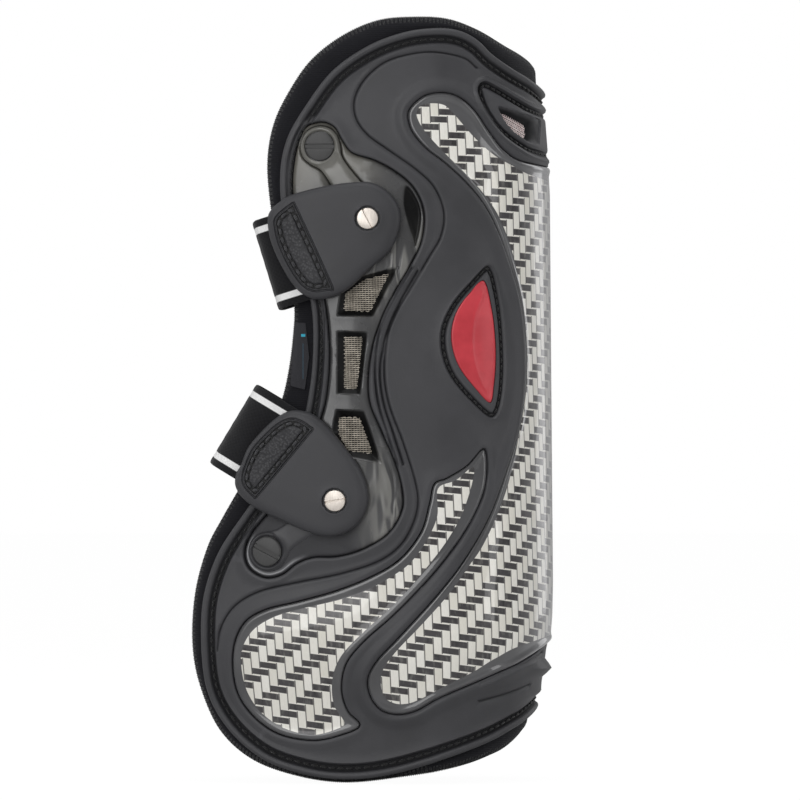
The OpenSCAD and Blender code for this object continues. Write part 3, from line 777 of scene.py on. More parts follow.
guard_c = [(30.5, 78), (24, 81.5), (19, 87.5), (14.5, 94), (9.5, 98.5), (4, 100.2), (-2, 99.4), (-6.5, 96),
           (-7.9, 92.5), (-6.5, 87.5), (-2, 82), (4.5, 77), (11.5, 70.5), (17.5, 63), (22, 54), (26, 42.5), (29, 31),
           (30.4, 18), (30.4, 5), (28.5, -9), (24, -24), (18.5, -38.5), (10, -53), (0.6, -64.8), (-11, -77.5),
           (-18, -85), (-21, -91), (-20, -97), (-16.5, -101.3), (-11, -102.7), (-5, -101.4), (2, -97.5), (15, -92),
           (27, -87)]
pat1_c = [(33, 73.6), (27.7, 76.1), (20.9, 79.7), (14, 85.6), (6.8, 93.7), (3.3, 96.4), (-2.6, 96.4), (-4.9, 94),
          (-4.3, 90.8), (-1, 86), (5.2, 79.5), (10.4, 74.4), (16.6, 67.8), (21.8, 60.5), (26.1, 50), (28.9, 38.6),
          (30.7, 25.6), (31.4, 12.2), (30.6, 0.2), (28.2, -13.2), (25.6, -26.2), (21.5, -37.7), (16.8, -47.5),
          (12.1, -54.3), (5.2, -63.7), (-3.6, -73.5), (-12.4, -82.8), (-16.4, -89.2), (-16, -96.0), (-12.4, -98.9),
          (-7.2, -98.9), (-1, -96.2), (2.6, -94.2), (14, -88.5), (20.9, -84.4), (29.7, -80.3)]
leaf_c = [(17.3, -16), (11.5, -21.5), (5, -25.5), (0.8, -27.4), (-0.8, -34), (-3.5, -43), (-10, -51.5), (-18.5, -57),
          (-30.5, -62), (-43.5, -65.7), (-54.5, -68.5), (-61.5, -73), (-65, -82), (-64.2, -94), (-59.3, -102.5),
          (-50.5, -109), (-39, -111.2), (-29.5, -109.3), (-23.5, -106.2), (-27.5, -101.5), (-29.5, -94.5), (-28, -86),
          (-22, -78.5), (-13, -70.5), (-3.5, -61), (5.5, -50.5), (13.5, -38.5), (17.8, -27)]
pat2_c = [(14, -22), (7.8, -26.2), (2, -28.9), (1.8, -37.7), (-1.6, -45.5), (-7, -53), (-13.6, -57.8), (-21.2, -62),
          (-29.7, -65), (-43, -68.2), (-51.5, -70.8), (-58.3, -75), (-62, -81), (-62.4, -87), (-60.8, -94.6),
          (-57, -101), (-51.6, -105.6), (-45.8, -108.2), (-38.5, -109.4), (-31.5, -107.6), (-28.6, -105.4),
          (-32, -99.6), (-32.6, -91.6), (-29.9, -83.9), (-22.8, -76.1), (-12.4, -66.7), (-3.6, -56.9), (5.2, -45.5),
          (10.8, -35)]
panel_c = [(-36.5, 90.6), (-32, 89), (-29.3, 84.5), (-26, 80.5), (-18.5, 78), (-11, 73.8), (-5.5, 68.5), (-2.6, 61),
           (-3.4, 52), (-7, 44), (-11.7, 36), (-16, 27.5), (-19.2, 18), (-20.7, 8), (-20.2, -1), (-16.5, -10),
           (-12, -20.5), (-9.6, -30), (-10, -36.5), (-14.5, -43.7), (-22.8, -48.7), (-31, -51), (-38.5, -51.3),
           (-44, -53.3), (-49, -57), (-54.5, -58), (-59.7, -55), (-61.3, -49.5), (-58.7, -43), (-51, -33.5),
           (-42, -18), (-36, -5), (-33.7, 8), (-33.7, 21), (-36, 36), (-42.5, 51), (-45.5, 66.5), (-45, 78), (-42, 88)]
win_o = [[(-10.4, 43.8), (-19.2, 27.1), (-31.4, 27.3), (-30, 35.5), (-22.5, 40.6)],
         [(-31.3, 22.7), (-20.9, 22.3), (-23.2, 1.5), (-31.3, 1.8)],
         [(-31.6, -2.9), (-22, -3.3), (-16.3, -20.9), (-26.8, -18.8), (-33, -10.4)]]
win_i = [[(-14.4, 41.0), (-20.4, 29.0), (-28.9, 29.3), (-28.2, 34.9), (-22.6, 39.0)],
         [(-28.6, 20.5), (-23.0, 20.3), (-24.8, 3.8), (-28.6, 3.9)],
         [(-30.4, -5.8), (-24, -5.9), (-19.8, -17.2), (-27.6, -16.4), (-30.6, -10.9)]]
line1_c = [(14.7, 108.4), (10.4, 111.6), (0.7, 113.4), (-7.8, 112.6), (-15.6, 110), (-21.8, 104.8), (-25.2, 98.5),
           (-25, 92.3), (-21.2, 86.6), (-14, 81.3), (-5.2, 75.1), (0.7, 69.3), (3.9, 61.1), (2.9, 53.3), (-1, 46.5),
           (-6.2, 37.7), (-11.4, 28.9), (-14.6, 20.4), (-15.6, 9), (-14, -1.5), (-9.4, -14), (-5.6, -26.2),
           (-4.6, -33.4), (-6.2, -40.3), (-10.4, -47.4), (-17.6, -52.6), (-29.7, -56.6), (-43, -59.3), (-56.1, -62.4),
           (-64.5, -67.3), (-69.1, -74.5), (-70.2, -82)]
grooves_c = [[(-6.6, 43), (-11.8, 34.6), (-16, 26), (-18, 17.5), (-18.6, 8.5), (-17.6, -1), (-14.6, -10.8), (-11.4, -21)],
             [(-4.6, 42.2), (-9.6, 33.4), (-13.6, 25), (-16, 17), (-17, 8.5), (-15.8, -1), (-12.6, -11), (-9.4, -21)]]
badge_c = [(17, 39), (12, 34.6), (8.2, 29.3), (6.4, 23.5), (6.5, 17.5), (8.8, 10.8), (13.4, 4.6), (19, -1), (20.4, 5),
           (21, 13.4), (20.7, 21.5), (19.6, 30)]
badge_o = [(17.8, 43.8), (12.4, 38.4), (6.8, 31.8), (3.3, 24.6), (2.7, 17.6), (4.8, 9.8), (9.3, 3.1), (16.6, -4.2),
           (19.9, -5.9), (22, -3.6), (23.4, 3), (23.8, 13), (23.1, 26), (21.6, 36), (20, 42)]
vent_o = [(21.2, 96.0), (28.5, 93.9), (35.6, 91.8), (35.0, 83.9), (31.2, 84.6), (26.8, 87.6), (23.6, 91.2)]
vent_i = [(22.4, 93.3), (24.6, 93.2), (28.2, 91.3), (31.7, 89.5), (31.7, 85.9), (28.6, 86.7), (25.2, 89.3)]
vband_c = [(33.5, 95.6), (28, 98.3), (21.5, 102), (17.2, 103.9), (15, 102.2), (15.6, 98.2), (17.9, 93), (22.2, 87.5),
           (28, 83.2), (33.5, 80.4)]
tabs_c = {"upper": [(-52.4, 60.9), (-48.2, 65.2), (-43, 67.6), (-33.3, 69.9), (-24, 71), (-18.3, 70.4), (-13.7, 67.4),
                    (-10.8, 63.4), (-9.9, 59.3), (-10.8, 54), (-13.7, 48.4), (-20.7, 42), (-25.8, 37), (-30.6, 34),
                    (-35.7, 32.8), (-39.5, 33.4), (-43.7, 36.4), (-47.7, 42.4), (-51.2, 50), (-52.6, 55.5)],
          "lower": [(-61.5, -21.2), (-59, -15.3), (-54.2, -9.6), (-49.6, -5.5), (-44.9, -3.4), (-39, -4.3),
                    (-33.8, -8.4), (-28, -15.3), (-22.8, -23), (-20.5, -30), (-21, -35.7), (-24.4, -41), (-29.7, -44),
                    (-35.5, -44.2), (-42, -42.2), (-49.6, -38.7), (-56, -35.7), (-60.6, -32.3), (-63.2, -28.2),
                    (-63, -24)]}
patch_c = {"upper": [(-44.4, 64.2), (-42.9, 62.6), (-31.6, 37.2), (-32.6, 35.9), (-37.8, 35.2), (-41.3, 37.2),
                     (-45, 42.4), (-48.8, 50.5), (-50.2, 56.5), (-50, 59.6)],
           "lower": [(-37.9, -9.4), (-38.6, -10.8), (-55.2, -31.2), (-56.7, -31.6), (-60, -28.2), (-60.6, -25),
                     (-59.3, -20.5), (-57, -15.7), (-53, -11.2), (-49.3, -7.8), (-45, -5.8), (-41.2, -6.8)]}
STUD_C = {"upper": (-20.5, 59.1), "lower": (-30.9, -32.8)}
PIN_C = {"upper": (-36.5, 82.7), "lower": (-53.6, -49.4)}
SLOT_A = {"upper": -62.0, "lower": 10.0}
PIN_A = {"upper": 0.0, "lower": -27.0}


def closed_sz(c, step=0.8):
    return ccw(spline(to_sz(c), True, step))


def poly_sz(c, step=0.6, corner=0.5):
    """Closed polygon with slightly rounded corners."""
    P = to_sz(c)
    out = []
    n = len(P)
    for i in range(n):
        a, b, d = P[i - 1], P[i], P[(i + 1) % n]
        u, v = (a - b) / np.linalg.norm(a - b), (d - b) / np.linalg.norm(d - b)
        p, q = b + u * corner, b + v * corner
        for t in (0, 0.33, 0.67, 1):
            out.append((1 - t) ** 2 * p + 2 * t * (1 - t) * b + t * t * q)
    return ccw(resample(np.array(out), step, True))


def rear_open(c, z_top, z_bot, step=0.8):
    P = to_sz(c)
    P = np.vstack([[SC, z_top], P, [SC, z_bot]])
    return spline(P, False, step, mirror_ends=True)


SHELL_O = rear_open(shell_c, 101.6, -101.6, 0.8)
LINING_O = rear_open(lining_c, 110.8, -108.6, 0.9)
GUARD_O = rear_open(guard_c, 76.6, -79.4, 0.8)
PAT1_O = rear_open(pat1_c, 71.6, -77.2, 0.7)
VBAND = rear_open(vband_c, 94.4, 79.4, 0.8)
LEAF, PAT2, PANEL = closed_sz(leaf_c), closed_sz(pat2_c, 0.7), closed_sz(panel_c)
BADGE, BADGE_O = closed_sz(badge_c, 0.7), closed_sz(badge_o, 0.8)
WIN_O = [poly_sz(c, 0.6, 0.3) for c in win_o]
WIN_I = [poly_sz(c, 0.6, 0.25) for c in win_i]
VENT_O, VENT_I = poly_sz(vent_o, 0.7, 0.4), poly_sz(vent_i, 0.6, 0.3)
LINE1 = spline(to_sz(line1_c), False, 0.8)
GROOVES = [spline(to_sz(c), False, 0.8) for c in grooves_c]


def close_c(c):
    """Close an open back-wrapping curve along the centre line, as a polygon."""
    return ccw(c)


def waist(z):
    """The stitched margin narrows at the waist."""
    return 1 - 0.22 * np.exp(-((np.asarray(z) - 17) / 28.0) ** 2)


def left_in(c, poly):
    """+1 if left of the curve is inside poly."""
    k = len(c) // 2
    p = offset(c, 0.5, False)[k:k + 1]
    return 1 if inside(p, poly)[0] else -1


# ---------------------------------------------------------------- shell
def back(V, a=34.0, b=59.0):
    return smooth(V[:, 0], a, b)


def bulge(V):
    """The rear guard stands a little proud of the shell at the back."""
    return (np.interp(V[:, 1], [-80, -60, 0, 76], [1.2, 1.6, 1.1, 0.5]) + 0.1) * back(V, 36, 60.5)


CREASE = [spline(to_sz([a, ((a[0] + b[0]) / 2, (a[1] + b[1]) / 2 - 0.4), b]), False, 0.8)
          for a, b in (((15.6, -92.6), (36.5, -82.8)), ((15.6, -98.4), (32, -93.4)))]


def shell_top(V):
    d0 = dist(V, SHELL_O, False)
    dn = d0 / waist(V[:, 1])
    bk = back(V)
    h = np.interp(dn, [0, 0.4, 1.0, 1.6, 2.05, 2.4, 2.7, 4.6, 4.9, 5.4, 6.0, 6.8],
                  [.3, .6, .75, .65, .35, -.45, -.85, -.85, -.35, .3, .22, 0])
    h = h * (1 + 0.05 * bk) + round_edge(d0, 0.7)
    dl = dist(V, LINE1, False)
    h += -0.6 * np.exp(-(dl / 0.36) ** 2) + 0.1 * np.exp(-((dl - 1.0) / 0.45) ** 2)
    for g in GROOVES:
        dg = dist(V, g, False)
        h += 0.14 * np.exp(-((dg - 0.85) / 0.35) ** 2) - 0.7 * np.exp(-(dg / 0.34) ** 2)
    for C, lip, w in ((PANEL, 0.45, 1.4), (LEAF, 0.35, 1.8)):
        d = -sdist(V, C)
        h += lip * smooth(d, 0.1, 0.6) * (1 - smooth(d, w, w + 1.4))
        h -= 0.5 * (1 - smooth(d, 0, 0.4)) * (d > -0.01)
        h = np.where(d < -0.02, -1.25, h)
    # thick rolled rim round the rear guard, with a soft channel outside it
    d = -sdist_open(V, GUARD_O)
    rim = 1.1 * (1 - 0.95 * back(V, 30, 50))
    h += rim * smooth(d, -0.4, 1.3) * (1 - smooth(d, 1.5, 5.5)) * (d > -0.01)
    h -= 0.35 * (1 - smooth(d, 0, 0.3)) * (d > -0.01)
    h += bk * np.interp(V[:, 1], [-103, -99, -97, -95.4, -93.2, -91.2, -89.9, -88.2, -86.6, -85.2, -82, -80],
                        [.2, -.1, -.2, .7, .5, .2, 1.5, 2.8, 1.5, 0, -.2, 0])
    h = np.where(d < -0.02, -1.25, h)
    # badge surround: stitched groove
    d = sdist(V, BADGE_O)
    h += np.interp(d, [-1.1, -0.3, 0.15, 0.45, 1.5, 1.85, 2.3], [0, .3, -.1, -.85, -.85, -.25, .1])
    d = sdist(V, BADGE)
    h = np.where(d > 0.02, -1.0, h)
    # vent surround and funnels
    d = sdist_open(V, VBAND)
    h += np.interp(d, [-1.9, -1.1, -0.3, 0.1, 0.4, 1.7, 2.1, 2.8], [0, .7, .55, -.3, -.95, -.95, -.1, .2]) * (1 - 0.35 * bk)
    d = sdist(V, VENT_O)
    di = dist(V, VENT_I)
    f = np.clip(d, 0, None) / (np.clip(d, 0, None) + di + 1e-6)
    h += 0.25 * np.exp(-((d + 0.5) / 0.5) ** 2) * (d < 0)
    h = np.where(d > 0, -0.15 - 2.0 * f, h)
    # two moulded creases near the foot of the back
    for c in CREASE:
        dc = dist(V, c, False)
        h += -0.55 * np.exp(-(dc / 0.5) ** 2) + 0.15 * np.exp(-((dc - 1.3) / 0.6) ** 2)
    return h


def recess_shade_share(o, lo=-0.95, hi=-0.12):
    """Share of painted shade in a groove, from its depth."""
    return np.where(o < -2.3, 0, np.clip((hi - o) / (hi - lo), 0, 1)) ** 0.8


def row_set(c, ds, closed, sgn=1, scale=None):
    """Rows parallel to a curve; loops that an offset makes at tight corners are cut away."""
    out = []
    for d in ds:
        dd = d * sgn if scale is None else d * sgn * scale
        q = offset(c, dd, closed)
        if abs(d) > 0.3:
            out += runs(q, dist(q, c, closed) > 0.94 * np.abs(dd), closed)
        else:
            out.append((q, closed))
    return out


def inset_clean(c, d):
    q = offset(c, d)
    return q[dist(q, c) > 0.96 * abs(d)]


def soften_open(c, n=4):
    for _ in range(n):
        c = np.vstack([c[:1], 0.25 * c[:-2] + 0.5 * c[1:-1] + 0.25 * c[2:], c[-1:]])
    return c


def soften(c, n):
    for _ in range(n):
        c = 0.25 * np.roll(c, 1, 0) + 0.5 * c + 0.25 * np.roll(c, -1, 0)
    return c


shell_poly = close_c(SHELL_O)
sg = left_in(SHELL_O, shell_poly)
wf = waist(SHELL_O[:, 1])
rows = row_set(SHELL_O, [0.18, 0.45], False, sg)
rows += row_set(SHELL_O, [1.0, 1.3, 1.6, 1.85, 2.05, 2.22, 2.4, 2.7, 4.6, 4.75, 4.9, 5.15, 5.4, 6.0, 6.8], False, sg, wf)
rows += [(LINE1, False)] + row_set(LINE1, [-1.3, -0.8, -0.4, 0.4, 0.8, 1.3], False)
for g_ in GROOVES + CREASE:
    rows += [(g_, False)] + row_set(g_, [-1.0, -0.5, 0.5, 1.0], False)
for zz_ in (-85.2, -86.6, -87.4, -88.2, -89, -89.9, -91.2, -95.4, -97):
    rows.append((np.stack([np.linspace(36, SC - 0.3, 30), np.full(30, zz_)], 1), False))
rows += row_set(PANEL, [0.12, 0.03, -0.35, -0.7, -1.5, -2.7], True)
rows += row_set(LEAF, [0.12, 0.03, -0.35, -0.7, -1.8, -3.0], True)
gs = left_in(GUARD_O, close_c(GUARD_O))
rows += row_set(GUARD_O, [0.12, 0.03, -0.15, -0.4, -0.8, -1.4, -2.1, -2.9, -3.8, -4.7, -5.6], False, gs)
rows += row_set(BADGE_O, [-1.1, -0.7, -0.3, 0.15, 0.45, 1.5, 1.85, 2.3], True)
rows += row_set(BADGE, [0.1, -0.02], True)
vs = left_in(VBAND, close_c(VBAND))
rows += row_set(VBAND, [-1.9, -1.5, -1.1, -0.7, -0.3, 0.1, 0.4, 1.7, 2.1, 2.8], False, vs)
rows += row_set(VENT_O, [0.0, 0.35, 0.8, 1.3, 1.8, -0.25, -0.5, -1.0], True)
holes = WIN_O + [VENT_I]
V, F = sheet(SHELL_O, holes, rows, 1.7, shell_top, lambda P: np.full(len(P), -2.5), centre=True)
# recess_shade: painted shade in the shell's grooves, from their depth
shell = to_mesh("shell_moulding", V, F, SHELL, centre=True, sharp=40, extra={"recess_shade": recess_shade_share(V[:, 2])})
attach(shell, "boot")
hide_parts("outer_shell")

# ---------------------------------------------------------------- guards
def guard_top(C, pat, opened=False):
    def f(V):
        d = np.clip(sdist_open(V, C) if opened else sdist(V, C), 0, None)
        h = np.interp(d, [0, 0.15, 0.5, 1.1, 1.7, 2.4, 3.4, 9], [-.75, -.4, -.12, 0, -.1, -.42, -.4, -.15])
        return h
    return f


gin = offset(GUARD_O, 0.12 * gs, False)
gin[0, 0] = gin[-1, 0] = SC
gpoly = close_c(gin)
rows = row_set(gin, [0.15, 0.5, 0.8, 1.1, 1.4, 1.7, 2.4, 3.4], False, gs) + [(PAT1_O, False)]
V, F = sheet(gin, [], rows, 1.6, lambda P: guard_top(gin, None, True)(P) + bulge(P), lambda P: np.full(len(P), -1.2), centre=True)
pat = sdist(V[:, :2], close_c(PAT1_O))
pat = np.where(V[:, 0] > SC - 0.5, np.abs(pat) + 3 * (np.abs(V[:, 1]) < 71), pat)
guard = to_mesh("rear_guard_weave", V, F, WEAVE, centre=True, extra={"pat": pat}, sharp=60)
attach(guard, "boot")
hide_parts("rear_strike_guard")

lin_ = offset(LEAF, 0.12)
rows = row_set(lin_, [0.15, 0.5, 0.8, 1.1, 1.4, 1.7, 2.4], True) + [(PAT2, True)]
V, F = sheet(lin_, [], rows, 1.6, lambda P: guard_top(lin_, None)(P) * 0.75 - 0.12, lambda P: np.full(len(P), -1.2))
pat = sdist(V[:, :2], PAT2)
for side, nm in ((0, "lateral"), (1, "medial")):
    o = to_mesh(nm + "_leaf_weave", V, F, WEAVE, side, extra={"pat": pat}, sharp=60)
    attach(o, "boot")
    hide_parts(nm + "_leaf_guard")

def arm_outline(w):
    ssz, psz = to_sz([STUD_C[w]])[0], to_sz([PIN_C[w]])[0]
    d = ssz - psz
    L = np.linalg.norm(d)
    d = d / L
    nn = np.array([-d[1], d[0]])
    ctrl = []
    for a in np.linspace(60, 300, 9):
        u = math.cos(math.radians(a)) * d + math.sin(math.radians(a)) * nn
        ctrl.append(psz + 6.6 * u)
    ctrl += [psz + d * 8.2 - nn * 3.9, psz + d * (L - 8) - nn * 5.0]
    for a in np.linspace(-75, 75, 7):
        u = math.cos(math.radians(a)) * d + math.sin(math.radians(a)) * nn
        ctrl.append(ssz + 7.5 * u)
    ctrl += [psz + d * (L - 8) + nn * 5.0, psz + d * 8.2 + nn * 3.9]
    return ccw(spline(ctrl, True, 0.7))


# ---------------------------------------------------------------- closure panels
pin_ = offset(PANEL, 0.14)
cres = closed_sz([(-8.8, 70), (-5.8, 67.6), (-3.4, 62), (-3.6, 56), (-5.4, 49.6), (-7, 53.5), (-8.6, 58.5), (-9.8, 64.5)], 0.7)


def panel_top(V):
    d = np.clip(sdist(V, pin_), 0, None)
    h = np.interp(d, [0, 0.15, 0.45, 0.9, 2.0, 6, 10], [-1.0, -.75, -.5, -.38, -.32, -.15, -.05])
    c = sdist(V, cres)
    h -= 0.75 * smooth(c, -0.3, 1.2)
    low = smooth(-V[:, 1], 44, 48) * smooth(-V[:, 0], 44, 48)
    h += 0.45 * np.exp(-((d - 1.1) / 0.45) ** 2) * low
    for o, i in zip(WIN_O, WIN_I):
        do, di = sdist(V, o), dist(V, i)
        f = np.clip(do, 0, None) / (np.clip(do, 0, None) + di + 1e-6)
        h += 0.03 * smooth(do, -1.6, -0.7) * (do < 0)
        h = np.where(do >= -1e-6, -0.35 - 1.75 * f, h)
    return h


ARM_UP = arm_outline("upper")
prows = row_set(pin_, [0.15, 0.45, 0.9, 1.4, 2.0], True)
for o in WIN_O:
    prows += row_set(o, [0, 0.3, 0.65, 1.0, 1.4, 1.8, 2.3, 2.8, -0.12, -0.7, -1.15, -1.6], True)
prows += row_set(cres, [-0.3, 0.2, 0.7, 1.2], True)
for side, nm in ((0, "lateral"), (1, "medial")):
    if side:
        ptop, rows = panel_top, prows
    else:
        ptop = lambda P: panel_top(P) - 0.5 * np.exp(-(dist(P, ARM_UP) / 0.5) ** 2)
        rows = prows + row_set(ARM_UP, [0.0, -0.45, -0.9, 0.4], True)
    V, F = sheet(pin_, WIN_I, rows, 1.5, ptop, lambda P: np.minimum(-1.2, panel_top(P) - 0.25), gb=1.5)
    # painted shade on the window bevel walls, in the crescent recess and along the arm's groove; a painted highlight
    # along the lower lip
    panel_recess_shade = np.clip((-0.36 - panel_top(V[:, :2])) / 0.35, 0, 1) * (sdist(V[:, :2], pin_) > 0.8)
    panel_recess_shade = np.maximum(panel_recess_shade, smooth(sdist(V[:, :2], cres), -0.1, 0.6))
    if not side:
        panel_recess_shade = np.maximum(panel_recess_shade, 0.95 * np.exp(-(dist(V[:, :2], ARM_UP) / 0.55) ** 2))
    panel_lip_highlight = np.exp(-((sdist(V[:, :2], pin_) - 1.0) / 0.35) ** 2) * smooth(-V[:, 1], 43, 47) * smooth(-V[:, 0], 40, 47)
    o = to_mesh(nm + "_panel_moulding", V, F, GLOSS, side, sharp=30, extra={"recess_shade": panel_recess_shade, "lip": panel_lip_highlight})
    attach(o, "boot")
    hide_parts(nm + "_closure_panel")


# ---------------------------------------------------------------- woven mesh in the openings
def strand_mesh(polys, pitches, rads, level, amp, ang=0.0):
    """Plain-woven strands filling each polygon (grown a little), as flat tubes in (s, z, o)."""
    parts = []
    ca, sa = math.cos(ang), math.sin(ang)
    for C in polys:
        C = offset(C, -0.55)
        cen = C.mean(0)
        Q = (C - cen) @ np.array([[ca, -sa], [sa, ca]])
        for ax in (0, 1):
            pitch, other, rad = pitches[ax], pitches[1 - ax], rads[ax]
            lo, hi = Q[:, 1 - ax].min(), Q[:, 1 - ax].max()
            k0, k1 = math.ceil(lo / pitch), math.floor(hi / pitch)
            for k in range(k0, k1 + 1):
                t = k * pitch
                a, b = Q, np.roll(Q, -1, 0)
                m = (a[:, 1 - ax] > t) != (b[:, 1 - ax] > t)
                if m.sum() < 2:
                    continue
                aa, bb = a[m], b[m]
                xs = aa[:, ax] + (t - aa[:, 1 - ax]) / (bb[:, 1 - ax] - aa[:, 1 - ax]) * (bb[:, ax] - aa[:, ax])
                x0, x1 = xs.min(), xs.max()
                if x1 - x0 < pitch:
                    continue
                n = max(3, int((x1 - x0) / (other * 0.5)) + 1)
                x = np.linspace(x0, x1, n)
                ph = np.pi * (x / other) + np.pi * (k % 2) + (np.pi / 2) + (np.pi if ax else 0)
                o = level + amp * np.cos(ph)
                c = np.zeros((n, 2))
                c[:, ax], c[:, 1 - ax] = x, t
                ring = []
                for j in range(4):
                    q = math.pi / 4 + j * math.pi / 2
                    p = c.copy()
                    p[:, 1 - ax] += rad * 1.25 * math.cos(q)
                    p = p @ np.array([[ca, sa], [-sa, ca]]) + cen
                    ring.append(np.c_[p, o + rad * math.sin(q)])
                X = np.stack(ring, 1).reshape(-1, 3)
                Fc = []
                for i in range(n - 1):
                    for j in range(4):
                        Fc.append([4 * i + j, 4 * i + 4 + j, 4 * i + 4 + (j + 1) % 4, 4 * i + (j + 1) % 4])
                Fc += [[0, 1, 2, 3], [4 * n - 1, 4 * n - 2, 4 * n - 3, 4 * n - 4]]
                parts.append((X, Fc, X[:, :2]))
    X, Fc, U = join_raw(parts)
    return X, Fc


X, Fc = strand_mesh(WIN_I, (0.66, 0.95), (0.19, 0.085), -2.05, 0.15, 0.03)
for side, nm in ((0, "lateral"), (1, "medial")):
    o = to_mesh(nm + "_window_strands", X, Fc, MESH, side)
    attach(o, "boot")
    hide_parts(nm + "_window_mesh")
X, Fc = strand_mesh([VENT_I], (0.6, 0.74), (0.16, 0.12), -2.0, 0.12, 0.35)
o = to_mesh("rear_vent_strands", X, Fc, MESH_VENT, centre=True)
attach(o, "boot")
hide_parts("rear_vent_mesh")

# ---------------------------------------------------------------- badge: plain leaf with a raised midrib
bin_ = offset(BADGE, 0.08)
mid = spline(to_sz([(17.2, 36), (13.8, 27), (13, 17), (15, 8), (18.4, 1)]), False, 0.7)


def badge_top(V):
    d = np.clip(sdist(V, bin_), 0, None)
    h = np.interp(d, [0, 0.15, 0.5, 1.0, 1.5, 2.2, 6], [-.25, -.02, .14, .18, .18, .2, .3])
    m = dist(V, mid, False)
    return h + 0.22 * np.exp(-(m / 0.5) ** 2) * smooth(d, 1.6, 2.6)


rows = row_set(bin_, [0.15, 0.5, 0.8, 1.1, 1.5, 2.2], True) + [(mid, False)] + row_set(mid, [-1.0, -0.5, 0.5, 1.0], False)
V, F = sheet(bin_, [], rows, 1.2, badge_top, lambda P: np.full(len(P), -0.95), gb=3)
bo = [to_mesh("badge_%d" % side, V, F, RED, side, sharp=60) for side in (0, 1)]
for o in bo:
    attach(o, "boot")
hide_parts("badges")


# ---------------------------------------------------------------- thread
def capsule(n_len, n_ring, L, rw, rh):
    """A stitch along x, centred, lying proud of its cloth: (x, y, z) unit shape."""
    t = np.linspace(0, np.pi, n_len)
    xs = -np.cos(t) * L / 2
    rr = np.maximum(np.sin(t), 0.12) ** 0.6
    X, Fc = [], []
    for x, r in zip(xs, rr):
        for j in range(n_ring):
            a = 2 * math.pi * j / n_ring
            X.append((x, rw * r * math.cos(a), rh * r * math.sin(a)))
    for i in range(n_len - 1):
        for j in range(n_ring):
            Fc.append([i * n_ring + j, (i + 1) * n_ring + j, (i + 1) * n_ring + (j + 1) % n_ring, i * n_ring + (j + 1) % n_ring])
    Fc.append(list(range(n_ring)))
    Fc.append([(n_len - 1) * n_ring + j for j in range(n_ring - 1, -1, -1)])
    return np.array(X), Fc


def stitches(c, closed, pitch, L, rw, rh, level, tilt=0.0, n_len=5, n_ring=6):
    """Stitches along a curve in (s, z); level is a number or a function of (s, z)."""
    q = resample(c, pitch, closed)
    if not closed:
        q = q[:-1] + np.diff(q, axis=0) / 2
        t = np.gradient(q, axis=0)
    else:
        t = np.roll(q, -1, 0) - np.roll(q, 1, 0)
    t = t / np.linalg.norm(t, axis=1)[:, None]
    S, Fc = capsule(n_len, n_ring, L, rw, rh)
    lv = level(q) if callable(level) else np.full(len(q), level)
    parts = []
    ct, st = math.cos(tilt), math.sin(tilt)
    for p, d, l in zip(q, t, lv):
        d = np.array([d[0] * ct - d[1] * st, d[0] * st + d[1] * ct])
        n = np.array([-d[1], d[0]])
        X = np.c_[p + S[:, :1] * d + S[:, 1:2] * n, l + S[:, 2]]
        parts.append((X, Fc, np.c_[S[:, 0], S[:, 1]]))
    return join_raw(parts)


line = offset(SHELL_O, 3.65 * sg * wf, False)
line = line[inside(line, shell_poly)]
X, Fc, U = stitches(line, False, 3.0, 2.3, 0.42, 0.42, -0.64)
parts = [(X, Fc, U)]
c = inset_clean(BADGE_O, 1.0)
parts.append(stitches(c, True, 2.4, 1.85, 0.42, 0.38, -0.66))
c = offset(VBAND, 1.05 * vs, False)
c = c[dist(c, VBAND, False) > 1.0]
parts.append(stitches(c, False, 2.5, 1.95, 0.44, 0.4, -0.72))
X, Fc, U = join_raw(parts)
o = to_mesh("shell_thread", X, Fc, THREAD, centre=True)
uvd = o.data.uv_layers[0].data
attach(o, "boot")
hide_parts("shell_edge_stitching")

# ---------------------------------------------------------------- lining
LPOLY = close_c(LINING_O)
ls = left_in(LINING_O, LPOLY)


def lin_top(V):
    d = dist(V, LINING_O, False)
    ds = -sdist(V, shell_poly)
    puff = 0.5 * smooth(ds, -2, 1.5) * smooth(d, 1.0, 3.0)
    return -2.55 + round_edge(d, 2.45) + np.where(ds > 0.3, puff, 0) * 0.9


def lin_bottom(V):
    d = dist(V, LINING_O, False)
    flat = np.where(V[:, 1] > 0, -7.0 - rho(V[:, 1]) * 0.8, -7.0)
    return flat - 0.3 + (2.3 + 0.0) - np.sqrt(np.maximum(2.3 ** 2 - np.clip(2.3 - d, 0, 2.3) ** 2, 0)) * 0 - 2.3 + (-round_edge(d, 2.3))


rows = row_set(LINING_O, [0.08, 0.3, 0.65, 1.1, 1.7, 2.4, 3.4, 5.0], False, ls)
rows += [(SHELL_O, False)]
V, F = sheet(LINING_O, [], rows, 2.2, lin_top, lin_bottom, centre=True, weld=True, gb=2.2, r=1.0)
fm = None
lining = to_mesh("lining_neoprene", V, F, LINING, centre=True)
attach(lining, "boot")
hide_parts("neoprene_lining")

